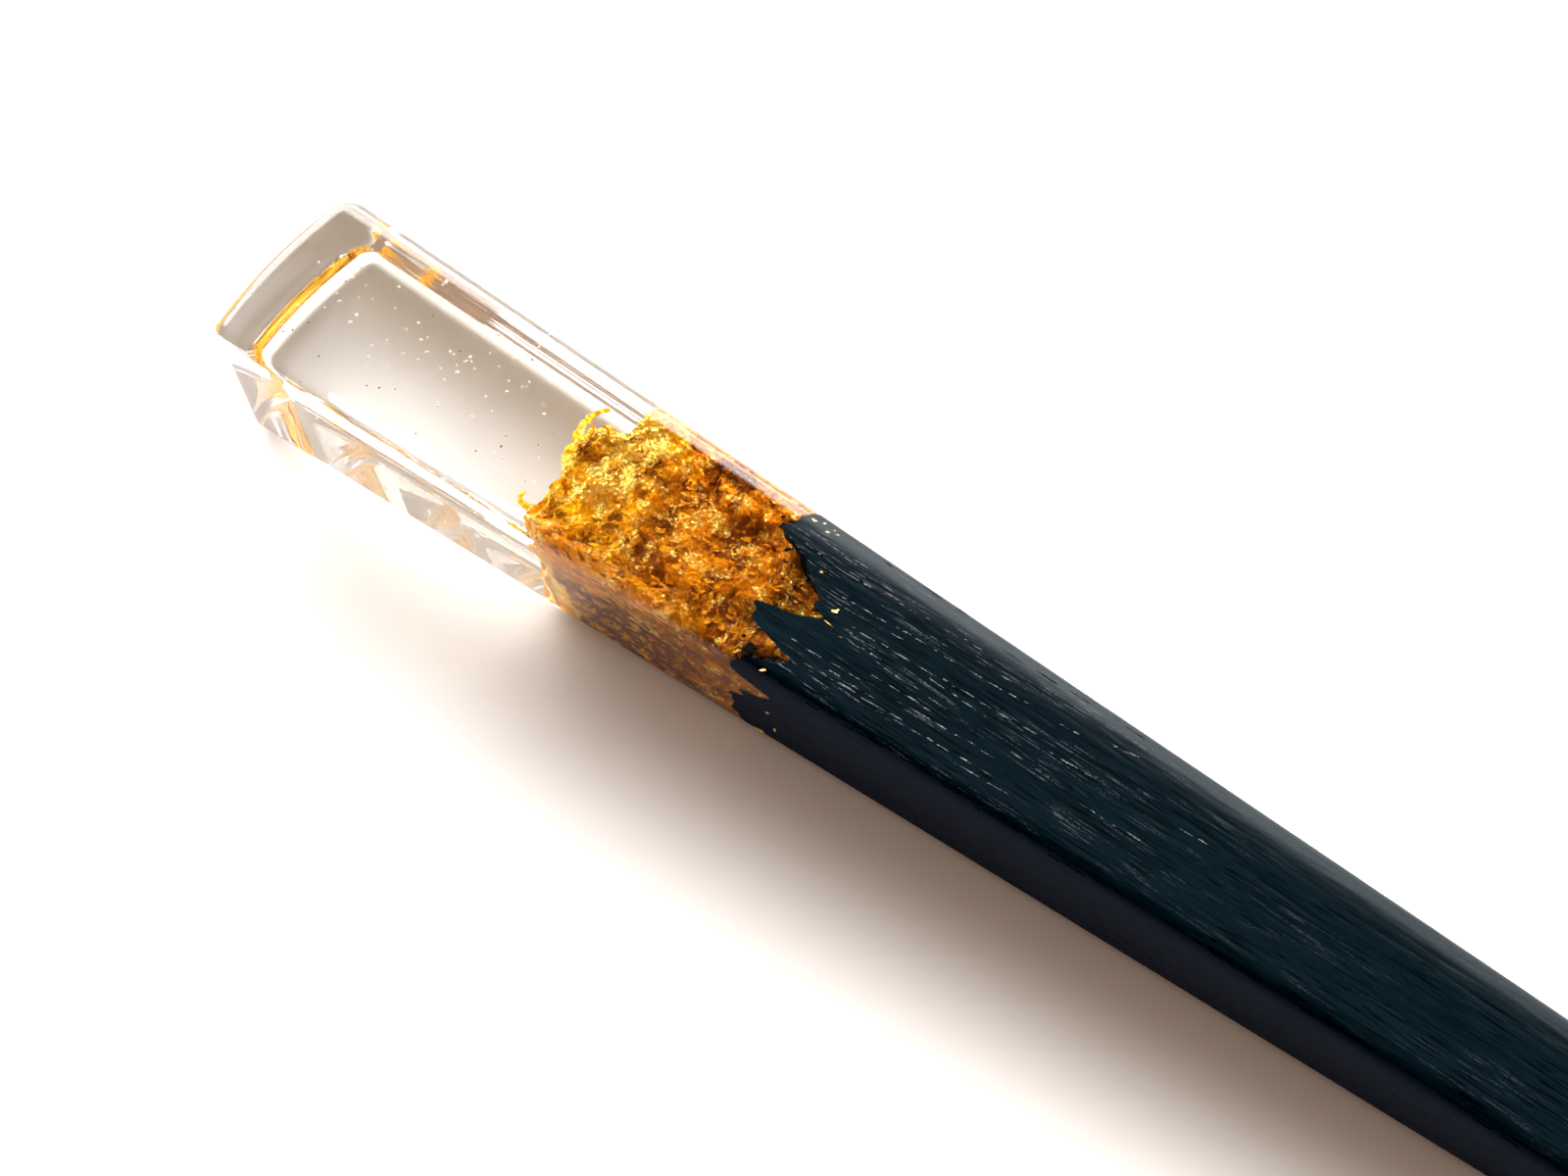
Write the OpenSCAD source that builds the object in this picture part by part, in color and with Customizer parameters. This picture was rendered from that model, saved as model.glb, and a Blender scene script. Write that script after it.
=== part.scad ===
// Hair stick: a tapered wood shaft whose broken, gilded end is cast into a clear square head.
// X runs along the stick from the head to the tip, and the flat underside lies at z = 0.

/* [Stick] */
// Whole length, from the domed end to the tip
stick_l = 150; // [130:1:190]
// Width of the head
head_w = 12; // [10:0.5:15]
// Height of the head
head_h = 10; // [9:0.5:13]
// Diameter of the tip
tip_d = 3.4; // [2.8:0.2:5]
// Rounding of the long edges at the head
edge_r = 1.6; // [1:0.1:2.4]
// Rounding around the head's end face
end_r = 1.4; // [0.8:0.1:2.2]
// Radius of the dome that the end face is ground to
dome_r = 30; // [20:1:60]

/* [Broken joint] */
// Clear resin from the end face to the gold
clear_l = 21; // [14:0.5:30]
// From the front of the gold to the middle of the ragged rim of the wood
joint_l = 17; // [14:0.5:24]
// How far the splinters of the rim reach either side of that middle
splinter_l = 2.4; // [0.5:0.1:3]
// Resin over the gold at the sides, where it is thinnest
skin_t = 0.55; // [0.4:0.05:1]
// Thickness of the gold
leaf_t = 0.4; // [0.3:0.05:0.6]
// Depth of the crumples in the gold
crumple_h = 0.3; // [0.1:0.05:0.4]
// Gap left between the pieces
fit_gap = 0.06; // [0.04:0.01:0.1]

/* [Curls of leaf] */
// Width of a curl
curl_w = 1.3; // [0.8:0.1:1.8]
// Thickness of a curl
curl_t = 0.3; // [0.2:0.05:0.4]
// Radius that a curl bends round
curl_r = 1.3; // [1:0.1:2]

/* [Hidden] */

// Steps of the outline: round each long edge, across the top and bottom, and up the sides
edge_steps = 6;
across_steps = 9;
up_steps = 7;
outline_n = 4 * (edge_steps + 1) + 2 * (across_steps - 1) + 2 * (up_steps - 1);
// Rings round the end face, on the dome inside them, and round the tip
end_rings = 5;
dome_rings = 3;
tip_rings = 5;
// Flat that is left on each side of the tip, so that its outline keeps its four edges
tip_flat = 0.3;
tip_u = stick_l - tip_d / 2;
rim_u = clear_l + joint_l;
seed = 7;

// Reach of each splinter of the rim as a share of splinter_l, from the far top edge over the top
SPLINTERS = [
    -0.7, -0.9, -1.0, -0.8, -0.5, 0.2, 0.9, -0.8, 0.7, 0.3, 0.9, 0.2, 0.8, -0.4,
    0.5, -0.7, 0.1, 0.6, -0.3, 0.8, -0.6, 0.2, -0.5, 0.7, 0.3, -0.6, 0.2, -0.4
];
// Outside of the gold, ring by ring: place as a share of joint_l from its front, and how much of
// the section inside the skin it fills there
PLACE = 0;
FILL = 1;
GOLD_SHAPE = [
    [0.00, 0.42], [0.03, 0.72], [0.09, 0.90], [0.22, 0.97],
    [0.38, 1.00], [0.55, 0.98], [0.72, 1.00]
];
// Curls of leaf: root as a share of joint_l from the front of the gold, of head_w across and of
// head_h up, then the angle each bends through and how it is turned about X and Z
BACK = 0;
ACROSS = 1;
UP = 2;
BEND = 3;
ROLL = 4;
YAW = 5;
CURLS = [
    [0.095, 0.10, 0.60, 75, 75, -45],
    [0.090, -0.27, 0.60, 115, 95, 0]
];
curl_steps = 7;
// How far the stump runs on inside the shaft
root_depth = 1;
// How far the last ring of the tip has turned round it
tip_turn = 80;
// Finer raggedness of the rim, as a share of splinter_l
rag = 0.12;

ROUGH = rands(-1, 1, outline_n * (len(GOLD_SHAPE) + 1), seed);
RAGGED = rands(-rag, rag, outline_n, seed + 1);

// Size of the stick's section at the station u
function along(u, at_head, at_tip) = at_head + (at_tip - at_head) * min(u, tip_u) / tip_u;
function section_w(u) = along(u, head_w, tip_d);
function section_h(u) = along(u, head_h, tip_d);
function section_r(u) = along(u, edge_r, (tip_d - tip_flat) / 2);

// The outline as shares of the straight half width and half height, then of the edge's radius
function edge_points(y, z, from) = [
    for (i = [0:edge_steps]) let (a = from + 90 * i / edge_steps) [y, z, cos(a), sin(a)]
];
function side_points(p, q, a, steps) = [
    for (i = [1:steps - 1]) let (m = p + (q - p) * i / steps) [m[0], m[1], cos(a), sin(a)]
];
OUTLINE = concat(
    edge_points(1, 1, 0), side_points([1, 1], [-1, 1], 90, across_steps),
    edge_points(-1, 1, 90), side_points([-1, 1], [-1, -1], 180, up_steps),
    edge_points(-1, -1, 180), side_points([-1, -1], [1, -1], 270, across_steps),
    edge_points(1, -1, 270), side_points([1, -1], [1, 1], 0, up_steps)
);

// Point j of the section at u, drawn in towards the axis to a share k, with its rounding cut by inset
function spot(j, u, k = 1, inset = 0) =
    let (
        w = section_w(u), h = section_h(u), r = section_r(u), s = OUTLINE[j],
        y = s[0] * (w / 2 - r) + s[2] * (r - inset),
        z = s[1] * (h / 2 - r) + s[3] * (r - inset)
    )
    [u - stick_l / 2, k * y, h / 2 + k * z];
function ring(u, k = 1, inset = 0) = [for (j = [0:outline_n - 1]) spot(j, u, k, inset)];
function axis_point(u) = [u - stick_l / 2, 0, section_h(u) / 2];

// Ragged rim between wood and resin, for point j at the share k of the section
function splinter(j) =
    let (n = len(SPLINTERS), i = floor(j / 2), next = (i + 1) % n)
    (j % 2 == 0 ? SPLINTERS[i] : (SPLINTERS[i] + SPLINTERS[next]) / 2) + RAGGED[j];
function rim(shares, back = 0) = [
    for (j = [0:outline_n - 1])
    spot(j, rim_u + splinter_l * shares[j] * splinter(j) - back, shares[j])
];
outer_shares = [for (j = [0:outline_n - 1]) 1];

// Share of the section that a length measured in from the top or bottom takes
function share_of(t) = 2 * t / section_h(rim_u);
full_share = 1 - share_of(skin_t + crumple_h);
// Shares of ring i of the gold's outside, moved out or in by grow
function gold_shares(i, grow) = [
    for (j = [0:outline_n - 1])
    let (fill = GOLD_SHAPE[min(i, len(GOLD_SHAPE) - 1)][FILL])
    full_share * fill + share_of(crumple_h) * ROUGH[i * outline_n + j] + share_of(grow)
];
function gold_rings(grow) = [
    for (i = [0:len(GOLD_SHAPE) - 1])
    let (u = clear_l + joint_l * GOLD_SHAPE[i][PLACE] - grow, shares = gold_shares(i, grow))
    [for (j = [0:outline_n - 1]) spot(j, u, shares[j])]
];

// Ring round the end face: a runs from 0 on the face to 90 on the sides
function end_ring(a) = ring(end_r * (1 - cos(a)), 1, end_r * (1 - sin(a)));
// Drawn in to a share of itself about the axis, then laid back by the dome's depth there
function domed(points, share) = [
    for (p = points)
    let (y = p[1] * share, z = (p[2] - head_h / 2) * share)
    [p[0] + (y * y + z * z) / (2 * dome_r), y, head_h / 2 + z]
];
function middle(points) = [for (i = [0:2]) [for (p = points) p[i]] * [for (p = points) 1] / len(points)];

// Closed skin over rings of points, with a fan from the given point at either end
module loft(rings, first, last) {
    n = len(rings[0]);
    m = len(rings);
    walls = [
        for (i = [0:m - 2], j = [0:n - 1])
        let (a = i * n + j, b = i * n + (j + 1) % n)
        each [[a, a + n, b], [b, a + n, b + n]]
    ];
    first_fan = [for (j = [0:n - 1]) [m * n, j, (j + 1) % n]];
    last_fan = [for (j = [0:n - 1]) [m * n + 1, (m - 1) * n + (j + 1) % n, (m - 1) * n + j]];
    polyhedron(
        points = concat([for (r = rings) each r], [first, last]),
        faces = concat(walls, first_fan, last_fan)
    );
}

module shaft() {
    tip = [
        for (i = [0:tip_rings - 1])
        let (a = tip_turn * i / (tip_rings - 1))
        ring(tip_u + tip_d / 2 * sin(a), 1, (tip_d - tip_flat) / 2 * (1 - cos(a)))
    ];
    loft(concat([rim(outer_shares)], tip), axis_point(rim_u), axis_point(stick_l));
}

// Form of the gilded end, moved out by grow and run on past the rim
module gilded_end(grow, past = 0) {
    shares = gold_shares(len(GOLD_SHAPE), grow);
    beyond = past > 0 ? [rim(shares, -past)] : [];
    loft(
        concat(gold_rings(grow), [rim(shares, fit_gap)], beyond),
        axis_point(clear_l - grow), axis_point(rim_u + (past > 0 ? past : -fit_gap))
    );
}

// Strip of leaf that leaves the gold and bends over, thicker by grow all round
module leaf_curl(curl, grow = 0) {
    half = curl_w / 2 + grow;
    over = curl_r + curl_t / 2 + grow;
    under = curl_r - curl_t / 2 - grow;
    overrun = grow / curl_r * 180 / PI;
    strip = [
        for (i = [0:curl_steps])
        let (a = -overrun + (curl[BEND] + 2 * overrun) * i / curl_steps)
        [
            for (c = [[over, half], [under, half], [under, -half], [over, -half]])
            [-c[0] * sin(a), c[1], c[0] * cos(a) - curl_r]
        ]
    ];
    root_x = clear_l + curl[BACK] * joint_l - stick_l / 2;
    translate([root_x, curl[ACROSS] * head_w, curl[UP] * head_h])
        rotate([curl[ROLL], 0, curl[YAW]])
            loft(strip, middle(strip[0]), middle(strip[curl_steps]));
}

module wood_shaft() {
    color([0.07, 0.09, 0.10])
        union() {
            shaft();
            gilded_end(-leaf_t - fit_gap, root_depth);
        }
}

// Crumpled gold over the broken end of the wood, and the curls that stand out of it
module gold_leaf() {
    color([0.85, 0.52, 0.10])
        difference() {
            union() {
                gilded_end(0);
                for (curl = CURLS)
                    leaf_curl(curl);
            }
            gilded_end(-leaf_t, root_depth);
        }
}

// Head with its rounded, slightly domed end, and the hollow that the gold fills
module resin_head() {
    dome = [for (i = [1:dome_rings]) domed(end_ring(0), i / (dome_rings + 1))];
    rounding = [for (i = [0:end_rings]) domed(end_ring(90 * i / end_rings), 1)];
    color([0.93, 0.91, 0.88, 0.35])
        difference() {
            loft(
                concat(dome, rounding, [rim(outer_shares, fit_gap)]),
                axis_point(0), axis_point(rim_u - fit_gap)
            );
            gilded_end(fit_gap, root_depth);
            for (curl = CURLS)
                leaf_curl(curl, fit_gap);
        }
}

wood_shaft();
gold_leaf();
resin_head();
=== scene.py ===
from math import cos, pi, radians, sin, tan
from random import Random

import bpy
from mathutils import Matrix, Vector


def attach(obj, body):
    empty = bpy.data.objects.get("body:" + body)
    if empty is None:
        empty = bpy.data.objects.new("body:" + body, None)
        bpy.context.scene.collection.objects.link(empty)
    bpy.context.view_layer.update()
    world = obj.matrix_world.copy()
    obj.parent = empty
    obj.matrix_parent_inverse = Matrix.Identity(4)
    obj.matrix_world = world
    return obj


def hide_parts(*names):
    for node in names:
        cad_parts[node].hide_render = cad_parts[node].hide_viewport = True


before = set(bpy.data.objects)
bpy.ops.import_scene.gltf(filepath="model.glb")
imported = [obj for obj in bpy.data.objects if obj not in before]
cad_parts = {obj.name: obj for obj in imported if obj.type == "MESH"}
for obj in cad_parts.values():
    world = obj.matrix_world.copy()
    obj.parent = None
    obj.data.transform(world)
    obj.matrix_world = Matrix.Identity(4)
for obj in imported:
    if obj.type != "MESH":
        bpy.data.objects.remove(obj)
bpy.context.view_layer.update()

MM = 0.001

# Driving sizes of the stick, as in the part's source
STICK_L = 150 * MM
HEAD_W = 12 * MM
HEAD_H = 10 * MM
TIP_D = 3.4 * MM
TIP_FLAT = 0.3 * MM
EDGE_R = 1.6 * MM
NEAR_EDGE_R = 0.7 * MM
UNDER_EDGE_R = 1.0 * MM
END_R = 1.5 * MM
UNDER_END_R = 1.0 * MM
UNDER_END_RISE = 2.2 * MM
DOME_R = 30 * MM
CLEAR_L = 21 * MM
JOINT_L = 17 * MM
RIM_REACH = 2.4 * MM

# Stations along the stick, measured from the head's end
HEAD_X = -STICK_L / 2
TIP_U = STICK_L - TIP_D / 2
RIM_U = CLEAR_L + JOINT_L

# How deep the resin's hidden end stands inside the wood, and the gold's
RESIN_ROOT = 0.4 * MM
GOLD_ROOT = 0.6 * MM

# Resin over the gold on top, at the sides and at the rim, how deep its deepest hollows are, and its front
# face: where its middle stands behind the clear length, and how far the face rounds back at the sides
GOLD_SKIN = 0.4 * MM
GOLD_SIDE_SKIN = 0.12 * MM
RIM_SKIN = 0.05 * MM
GOLD_HOLLOWS = 1.7 * MM
FRONT_MIDDLE = 1.2 * MM
FRONT_ROUND = 0.5 * MM
# How much rounder the gold is than the stick at its near top edge
GOLD_NEAR_ROUND = 0.9 * MM

# Open pores in the wood
PORE_WIDTH = 0.3 * MM
PORE_DEPTH = 0.03 * MM

# Curls of leaf that stand out of the front: root, pull at the root, pull at the tip, and tip
FAR_CURL = [(23.1, 0.2, 6.8), (21.1, 0.5, 6.9), (21.0, 2.6, 6.9), (21.9, 3.6, 6.8)]
NEAR_CURL = [(25.0, -3.0, 7.0), (23.8, -3.7, 7.0), (21.2, -4.3, 7.0), (21.5, -3.2, 7.0)]

# Ragged rim of the wood: share of the way round the outline from the far top edge over the top, and
# share of RIM_REACH past the middle of the rim
SPLINTERS = [
    (0.000, -1.00), (0.040, -1.12), (0.086, -1.40), (0.097, -0.88), (0.110, -0.46), (0.129, -0.17),
    (0.155, 0.38), (0.168, 0.25), (0.178, 0.80), (0.184, 0.54), (0.199, -0.08), (0.210, -0.80),
    (0.231, -0.62), (0.243, -0.20), (0.258, 0.80), (0.276, 0.42), (0.300, -0.25), (0.335, -0.46),
    (0.352, -0.42), (0.362, 0.15), (0.373, 0.62), (0.387, 0.25), (0.402, -0.35), (0.412, -0.20),
    (0.430, -0.68), (0.454, -0.56), (0.470, -0.66), (0.500, -0.50),
    (0.530, 0.20), (0.548, -0.30), (0.580, 0.35), (0.602, -0.55), (0.640, 0.60), (0.655, 0.10),
    (0.690, -0.60), (0.720, 0.15), (0.740, 0.55), (0.765, -0.20), (0.800, -0.70), (0.835, 0.10),
    (0.860, -0.45), (0.885, 0.30), (0.905, -0.60), (0.940, -0.95), (0.965, -0.60), (1.000, -1.00),
]
# Width of a curl of leaf from its root to its tip, as shares of the full width
CURL_WIDTHS = [(0.0, 1.0), (0.4, 0.9), (0.65, 0.6), (0.8, 0.95), (0.93, 0.8), (1.0, 0.3)]
# Front of the gold: share of the way round, and share of FRONT_REACH behind the clear length
FRONT_REACH = 4 * MM
FRONT = [
    (0.00, 0.70), (0.05, 0.68), (0.095, 0.66), (0.108, 0.30), (0.13, 0.06), (0.165, 0.02), (0.19, 0.14),
    (0.215, 0.47), (0.235, 0.62), (0.258, 0.60), (0.272, 0.25), (0.288, 0.45), (0.305, 0.30), (0.33, 0.62),
    (0.36, 0.40), (0.40, 0.65), (0.45, 0.45), (0.50, 0.60),
    (0.55, 0.35), (0.60, 0.55), (0.64, 0.30), (0.68, 0.50), (0.72, 0.25), (0.75, 0.45), (0.78, 0.30),
    (0.81, 0.62), (0.83, 0.48), (0.86, 0.85), (0.885, 0.55), (0.91, 0.80), (0.935, 0.52), (0.965, 0.78),
    (1.00, 0.70),
]

# Flecks and crumbs that lie on the stick: the face, the station, the place across the top, up the near
# side or round the far edge in degrees, the length, the width and the turn in degrees
GOLD_FLECKS = [
    ("top", 39.9, 0.3, 0.6, 0.36, 40), ("top", 40.1, -0.5, 1.1, 0.09, -8),
    ("top", 41.0, -0.75, 0.5, 0.06, 15), ("near", 38.1, 1.0, 0.9, 0.5, 10),
    ("near", 39.2, 2.2, 0.5, 0.3, 70), ("near", 38.9, 3.9, 0.3, 0.2, 20),
    ("top", 38.9, -4.6, 0.35, 0.2, 50), ("top", 37.9, 1.7, 0.3, 0.2, 10),
]
PALE_FLECKS = [
    ("far", 34.1, 38, 0.55, 0.25, 15), ("far", 34.7, 30, 0.4, 0.25, 60), ("far", 35.2, 40, 0.35, 0.2, 30),
    ("far", 35.7, 24, 0.5, 0.25, 10), ("far", 36.2, 34, 0.3, 0.18, 80), ("far", 36.7, 18, 0.4, 0.2, 25),
    ("far", 37.2, 26, 0.3, 0.2, 45), ("far", 36.9, 32, 0.2, 0.15, 45), ("far", 35.0, 20, 0.25, 0.15, 45),
]
WOOD_CRUMBS = [
    ("top", 37.5, -4.1, 1.15, 0.85, 60), ("top", 36.9, -3.6, 0.4, 0.25, 20), ("top", 35.0, 3.2, 0.8, 0.5, 20),
    ("top", 34.6, 2.8, 0.6, 0.4, 75), ("top", 35.3, 2.4, 0.6, 0.4, 10), ("top", 34.3, 3.2, 0.35, 0.25, 40),
    ("top", 35.7, 1.8, 0.55, 0.3, 60), ("top", 36.0, 1.1, 0.4, 0.2, 15), ("top", 36.5, 0.2, 0.3, 0.2, 50),
]
# Dark cracks round the far edge, as the flecks are given
CRACKS = [
    ("far", 48.4, 20, 2.6, 0.09, 0), ("far", 50.6, 24, 2.4, 0.12, 1), ("far", 52.6, 30, 2.2, 0.08, 1),
    ("far", 40.3, 40, 1.3, 0.08, 0), ("far", 42.9, 46, 1.9, 0.07, 1), ("far", 44.8, 52, 1.2, 0.06, 0),
    ("far", 56.0, 35, 1.8, 0.06, 0), ("top", 44.5, 2.55, 2.6, 0.07, 1), ("top", 43.4, -1.9, 1.6, 0.08, 2),
]
# Pores that show pale beads of painted highlight: the station and the place across where each starts and ends
GLINTING_PORES = [
    (35.9, 37.6, 2.60, 2.45), (38.9, 46.6, 2.42, 2.90), (39.5, 50.6, 1.20, 1.76),
    (41.0, 51.1, 0.05, 0.62), (42.8, 44.1, 0.95, 1.05), (42.1, 43.0, -0.57, -0.55),
    (43.8, 46.6, -0.83, -0.90), (45.7, 49.8, 0.02, -0.10), (38.9, 42.8, -2.31, -2.10),
    (43.4, 46.8, -1.55, -1.45), (45.4, 51.0, -1.95, -1.62), (40.1, 45.5, -3.00, -2.72),
    (44.8, 50.9, -2.95, -2.55), (41.6, 44.2, -2.62, -2.50), (49.7, 52.6, -3.05, -2.85),
    (52.6, 53.9, 1.82, 1.85), (53.2, 55.4, 0.20, 0.36), (55.4, 56.3, 2.40, 2.55),
    (56.5, 59.0, -1.20, -1.15), (60.5, 62.5, 0.60, 0.66), (46.9, 49.5, 2.20, 2.30),
    (51.5, 54.0, -0.95, -0.90),
]
# How high a fleck stands, and how deep each kind sinks in
FLECK_HEIGHT = 0.05 * MM
FLECK_SINK = 0.015 * MM
CRUMB_SINK = 0.06 * MM
CRACK_SINK = 0.02 * MM
PORE_SINK = 0.012 * MM
# Points round a fleck, the share of its size where its crumpled top starts, the shares between which
# its outline and its top wander, and the share of its height at its middle
FLECK_POINTS = 11
FLECK_INNER = 0.55
FLECK_RAGGED = (0.45, 1.15)
FLECK_LIFT = (0.1, 1.0)
FLECK_MIDDLE = 0.6
# Each bead of painted highlight along a pore, in millimetres: its length, how far it strays, its width and
# the gap after it
BEAD_LENGTH = (0.3, 1.6)
BEAD_STRAY = (-0.04, 0.04)
BEAD_WIDTH = (0.06, 0.11)
BEAD_GAP = (-0.05, 0.25)
# Turn in degrees for a slope of one, near enough for pores that run almost straight
SLOPE_TURN = 57

# Where a Mix node has its two colours and its result
MIX_FIRST = 6
MIX_SECOND = 7
MIX_RESULT = 2
# Middle of the range of a noise
NOISE_MIDDLE = 0.5
# Lowest value that a curve may give
CURVE_FLOOR = -2.0


class Term:
    """A value in a node tree, so that a rule in nodes reads as a formula"""

    def __init__(self, tree, socket):
        self.tree = tree
        self.socket = socket

    def math(self, operation, *others):
        """This value and others put through a Math node"""
        node = self.tree.nodes.new("ShaderNodeMath")
        node.operation = operation
        for socket, value in zip(node.inputs, (self, *others)):
            feed(self.tree, socket, value)
        return Term(self.tree, node.outputs[0])

    def __add__(self, other):
        return self.math("ADD", other)

    def __radd__(self, other):
        return self.math("ADD", other)

    def __sub__(self, other):
        return self.math("SUBTRACT", other)

    def __rsub__(self, other):
        return self.math("MULTIPLY", -1.0).math("ADD", other)

    def __mul__(self, other):
        return self.math("MULTIPLY", other)

    def __rmul__(self, other):
        return self.math("MULTIPLY", other)

    def __truediv__(self, other):
        return self.math("DIVIDE", other)

    def __rtruediv__(self, other):
        return self.math("POWER", -1.0) * other

    def limit(self, low, high):
        """The value, held between low and high"""
        return self.math("MAXIMUM", low).math("MINIMUM", high)

    def within(self, reach):
        """The value, held within a reach either side of nothing"""
        return self.math("MINIMUM", reach).math("MAXIMUM", reach * -1.0)

    def ramp(self, start, end, low=0.0, high=1.0, smooth=False):
        """low up to start, high from end on, and a straight or smooth run between them"""
        node = self.tree.nodes.new("ShaderNodeMapRange")
        node.interpolation_type = "SMOOTHSTEP" if smooth else "LINEAR"
        feed(self.tree, node.inputs["Value"], self)
        for name, value in (("From Min", start), ("From Max", end), ("To Min", low), ("To Max", high)):
            feed(self.tree, node.inputs[name], value)
        return Term(self.tree, node.outputs["Result"])


def feed(tree, socket, value):
    """Links a term or a socket to an input, or sets the input to a plain value"""
    if isinstance(value, Term):
        tree.links.new(value.socket, socket)
    elif isinstance(value, bpy.types.NodeSocket):
        tree.links.new(value, socket)
    else:
        socket.default_value = value


def add(tree, kind, out=0, settings=(), **inputs):
    """Adds a node, sets its options and inputs, and gives one of its outputs as a term. An input is called by
    its title, with _ for a space, or by i and its number."""
    node = tree.nodes.new(kind)
    for name, value in dict(settings).items():
        setattr(node, name, value)
    for name, value in inputs.items():
        key = int(name[1:]) if name[0] == "i" and name[1:].isdigit() else name.replace("_", " ")
        feed(tree, node.inputs[key], value)
    return Term(tree, node.outputs[out])


def xyz(tree, vector):
    """The three parts of a vector as terms"""
    node = tree.nodes.new("ShaderNodeSeparateXYZ")
    feed(tree, node.inputs[0], vector)
    return [Term(tree, socket) for socket in node.outputs]


def vector(tree, x, y, z):
    """A vector made of three terms or numbers"""
    return add(tree, "ShaderNodeCombineXYZ", X=x, Y=y, Z=z)


def curve_of(tree, points, value):
    """A function given by a few chosen points, with sharp turns at them"""
    node = tree.nodes.new("ShaderNodeFloatCurve")
    curve = node.mapping.curves[0]
    node.mapping.clip_min_y = CURVE_FLOOR
    node.mapping.use_clip = False
    while len(curve.points) < len(points):
        curve.points.new(0.5, 0.5)
    for point, (x, y) in zip(curve.points, points):
        point.location = (x, y)
        point.handle_type = "VECTOR"
    node.mapping.update()
    feed(tree, node.inputs["Value"], value)
    return Term(tree, node.outputs["Value"])


def mixed(tree, factor, first, second):
    """Two colours mixed by a factor"""
    node = tree.nodes.new("ShaderNodeMix")
    node.data_type = "RGBA"
    feed(tree, node.inputs[0], factor)
    feed(tree, node.inputs[MIX_FIRST], first)
    feed(tree, node.inputs[MIX_SECOND], second)
    return Term(tree, node.outputs[MIX_RESULT])


def combine(tree, operation, first, second=None, scale=None):
    """Vector arithmetic"""
    given = {"i0": first}
    if second is not None:
        given["i1"] = second
    if scale is not None:
        given["Scale"] = scale
    return add(tree, "ShaderNodeVectorMath", 0, {"operation": operation}, **given)


def noise(tree, place, grain, out="Fac", **inputs):
    """Noise whose blotches are about one grain wide"""
    return add(tree, "ShaderNodeTexNoise", out, Vector=place, Scale=1 / grain, **inputs)


def cells(tree, place, grain, metric="MANHATTAN", out="Distance"):
    """Cells about one grain wide; their distance has flat facets"""
    return add(tree, "ShaderNodeTexVoronoi", out, {"distance": metric}, Vector=place, Scale=1 / grain)


def ragged_at(tree, place, grain):
    """A value that wanders either side of nothing"""
    return noise(tree, place, grain, Detail=3.0) - NOISE_MIDDLE


def jitter(tree, place, grain, reach, **inputs):
    """A vector that wanders by up to half the reach each way"""
    drift = noise(tree, place, grain, "Color", **inputs)
    centred = combine(tree, "SUBTRACT", drift, (NOISE_MIDDLE,) * 3)
    return combine(tree, "SCALE", centred, scale=reach)


def random_vector(tree, low, high, seed):
    """A vector drawn between low and high for each point"""
    return add(
        tree, "FunctionNodeRandomValue", 0, {"data_type": "FLOAT_VECTOR"}, i0=low, i1=high, Seed=seed,
    )


def moved(tree, geometry, offset):
    """A geometry with each point moved by its own offset"""
    return add(tree, "GeometryNodeSetPosition", Geometry=geometry, Offset=offset)

def new_tree(name, inputs):
    """A Geometry Nodes tree with its named inputs, given as terms by name"""
    tree = bpy.data.node_groups.new(name, "GeometryNodeTree")
    kinds = {
        int: "NodeSocketInt", float: "NodeSocketFloat", Vector: "NodeSocketVector",
        bpy.types.Material: "NodeSocketMaterial",
    }
    tree.interface.new_socket("Geometry", in_out="INPUT", socket_type="NodeSocketGeometry")
    tree.interface.new_socket("Geometry", in_out="OUTPUT", socket_type="NodeSocketGeometry")
    for title, kind in inputs.items():
        tree.interface.new_socket(title, in_out="INPUT", socket_type=kinds[kind])
    entry = tree.nodes.new("NodeGroupInput")
    terms = {title: Term(tree, entry.outputs[title]) for title in inputs}
    return tree, terms


def close_tree(tree, geometry, material, smooth, part=None, part_material=None):
    """Ends a tree with shading, realized instances and its material, and another material on a part"""
    shaded = add(tree, "GeometryNodeSetShadeSmooth", Geometry=geometry, Shade_Smooth=smooth)
    real = add(tree, "GeometryNodeRealizeInstances", Geometry=shaded)
    done = add(tree, "GeometryNodeSetMaterial", Geometry=real, Material=material)
    if part is not None:
        done = add(tree, "GeometryNodeSetMaterial", Geometry=done, Selection=part, Material=part_material)
    exit_node = tree.nodes.new("NodeGroupOutput")
    feed(tree, exit_node.inputs["Geometry"], done)


def grown(name, tree, values):
    """Runs a tree with these values of its inputs and keeps the result as a plain mesh object"""
    holder = bpy.data.objects.new(name + "_holder", bpy.data.meshes.new(name + "_holder"))
    bpy.context.scene.collection.objects.link(holder)
    modifier = holder.modifiers.new("rule", "NODES")
    modifier.node_group = tree
    by_title = {s.name: s.identifier for s in tree.interface.items_tree if s.in_out == "INPUT"}
    for title, value in values.items():
        modifier[by_title[title]] = value
    evaluated = holder.evaluated_get(bpy.context.evaluated_depsgraph_get())
    mesh = bpy.data.meshes.new_from_object(evaluated)
    holder.modifiers.clear()
    bpy.data.objects.remove(holder)
    piece = bpy.data.objects.new(name, mesh)
    mesh.name = name
    bpy.context.scene.collection.objects.link(piece)
    return piece


BAR_VALUES = {
    "Stick length": STICK_L, "Head width": HEAD_W, "Head height": HEAD_H, "Tip diameter": TIP_D,
    "Tip flat": TIP_FLAT, "Edge radius": EDGE_R, "Near edge radius": NEAR_EDGE_R,
    "Under edge radius": UNDER_EDGE_R, "Rim place": RIM_U, "Rim reach": RIM_REACH,
}
BAR_INPUTS = {"Rows along": int, "Rows around": int, **dict.fromkeys(BAR_VALUES, float)}
# Fine fraying of the wood's rim: how often it repeats round the stick, and its share of the rim's reach
FRAY_COUNT = 70.0
FRAY_SHARE = 0.35
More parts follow.
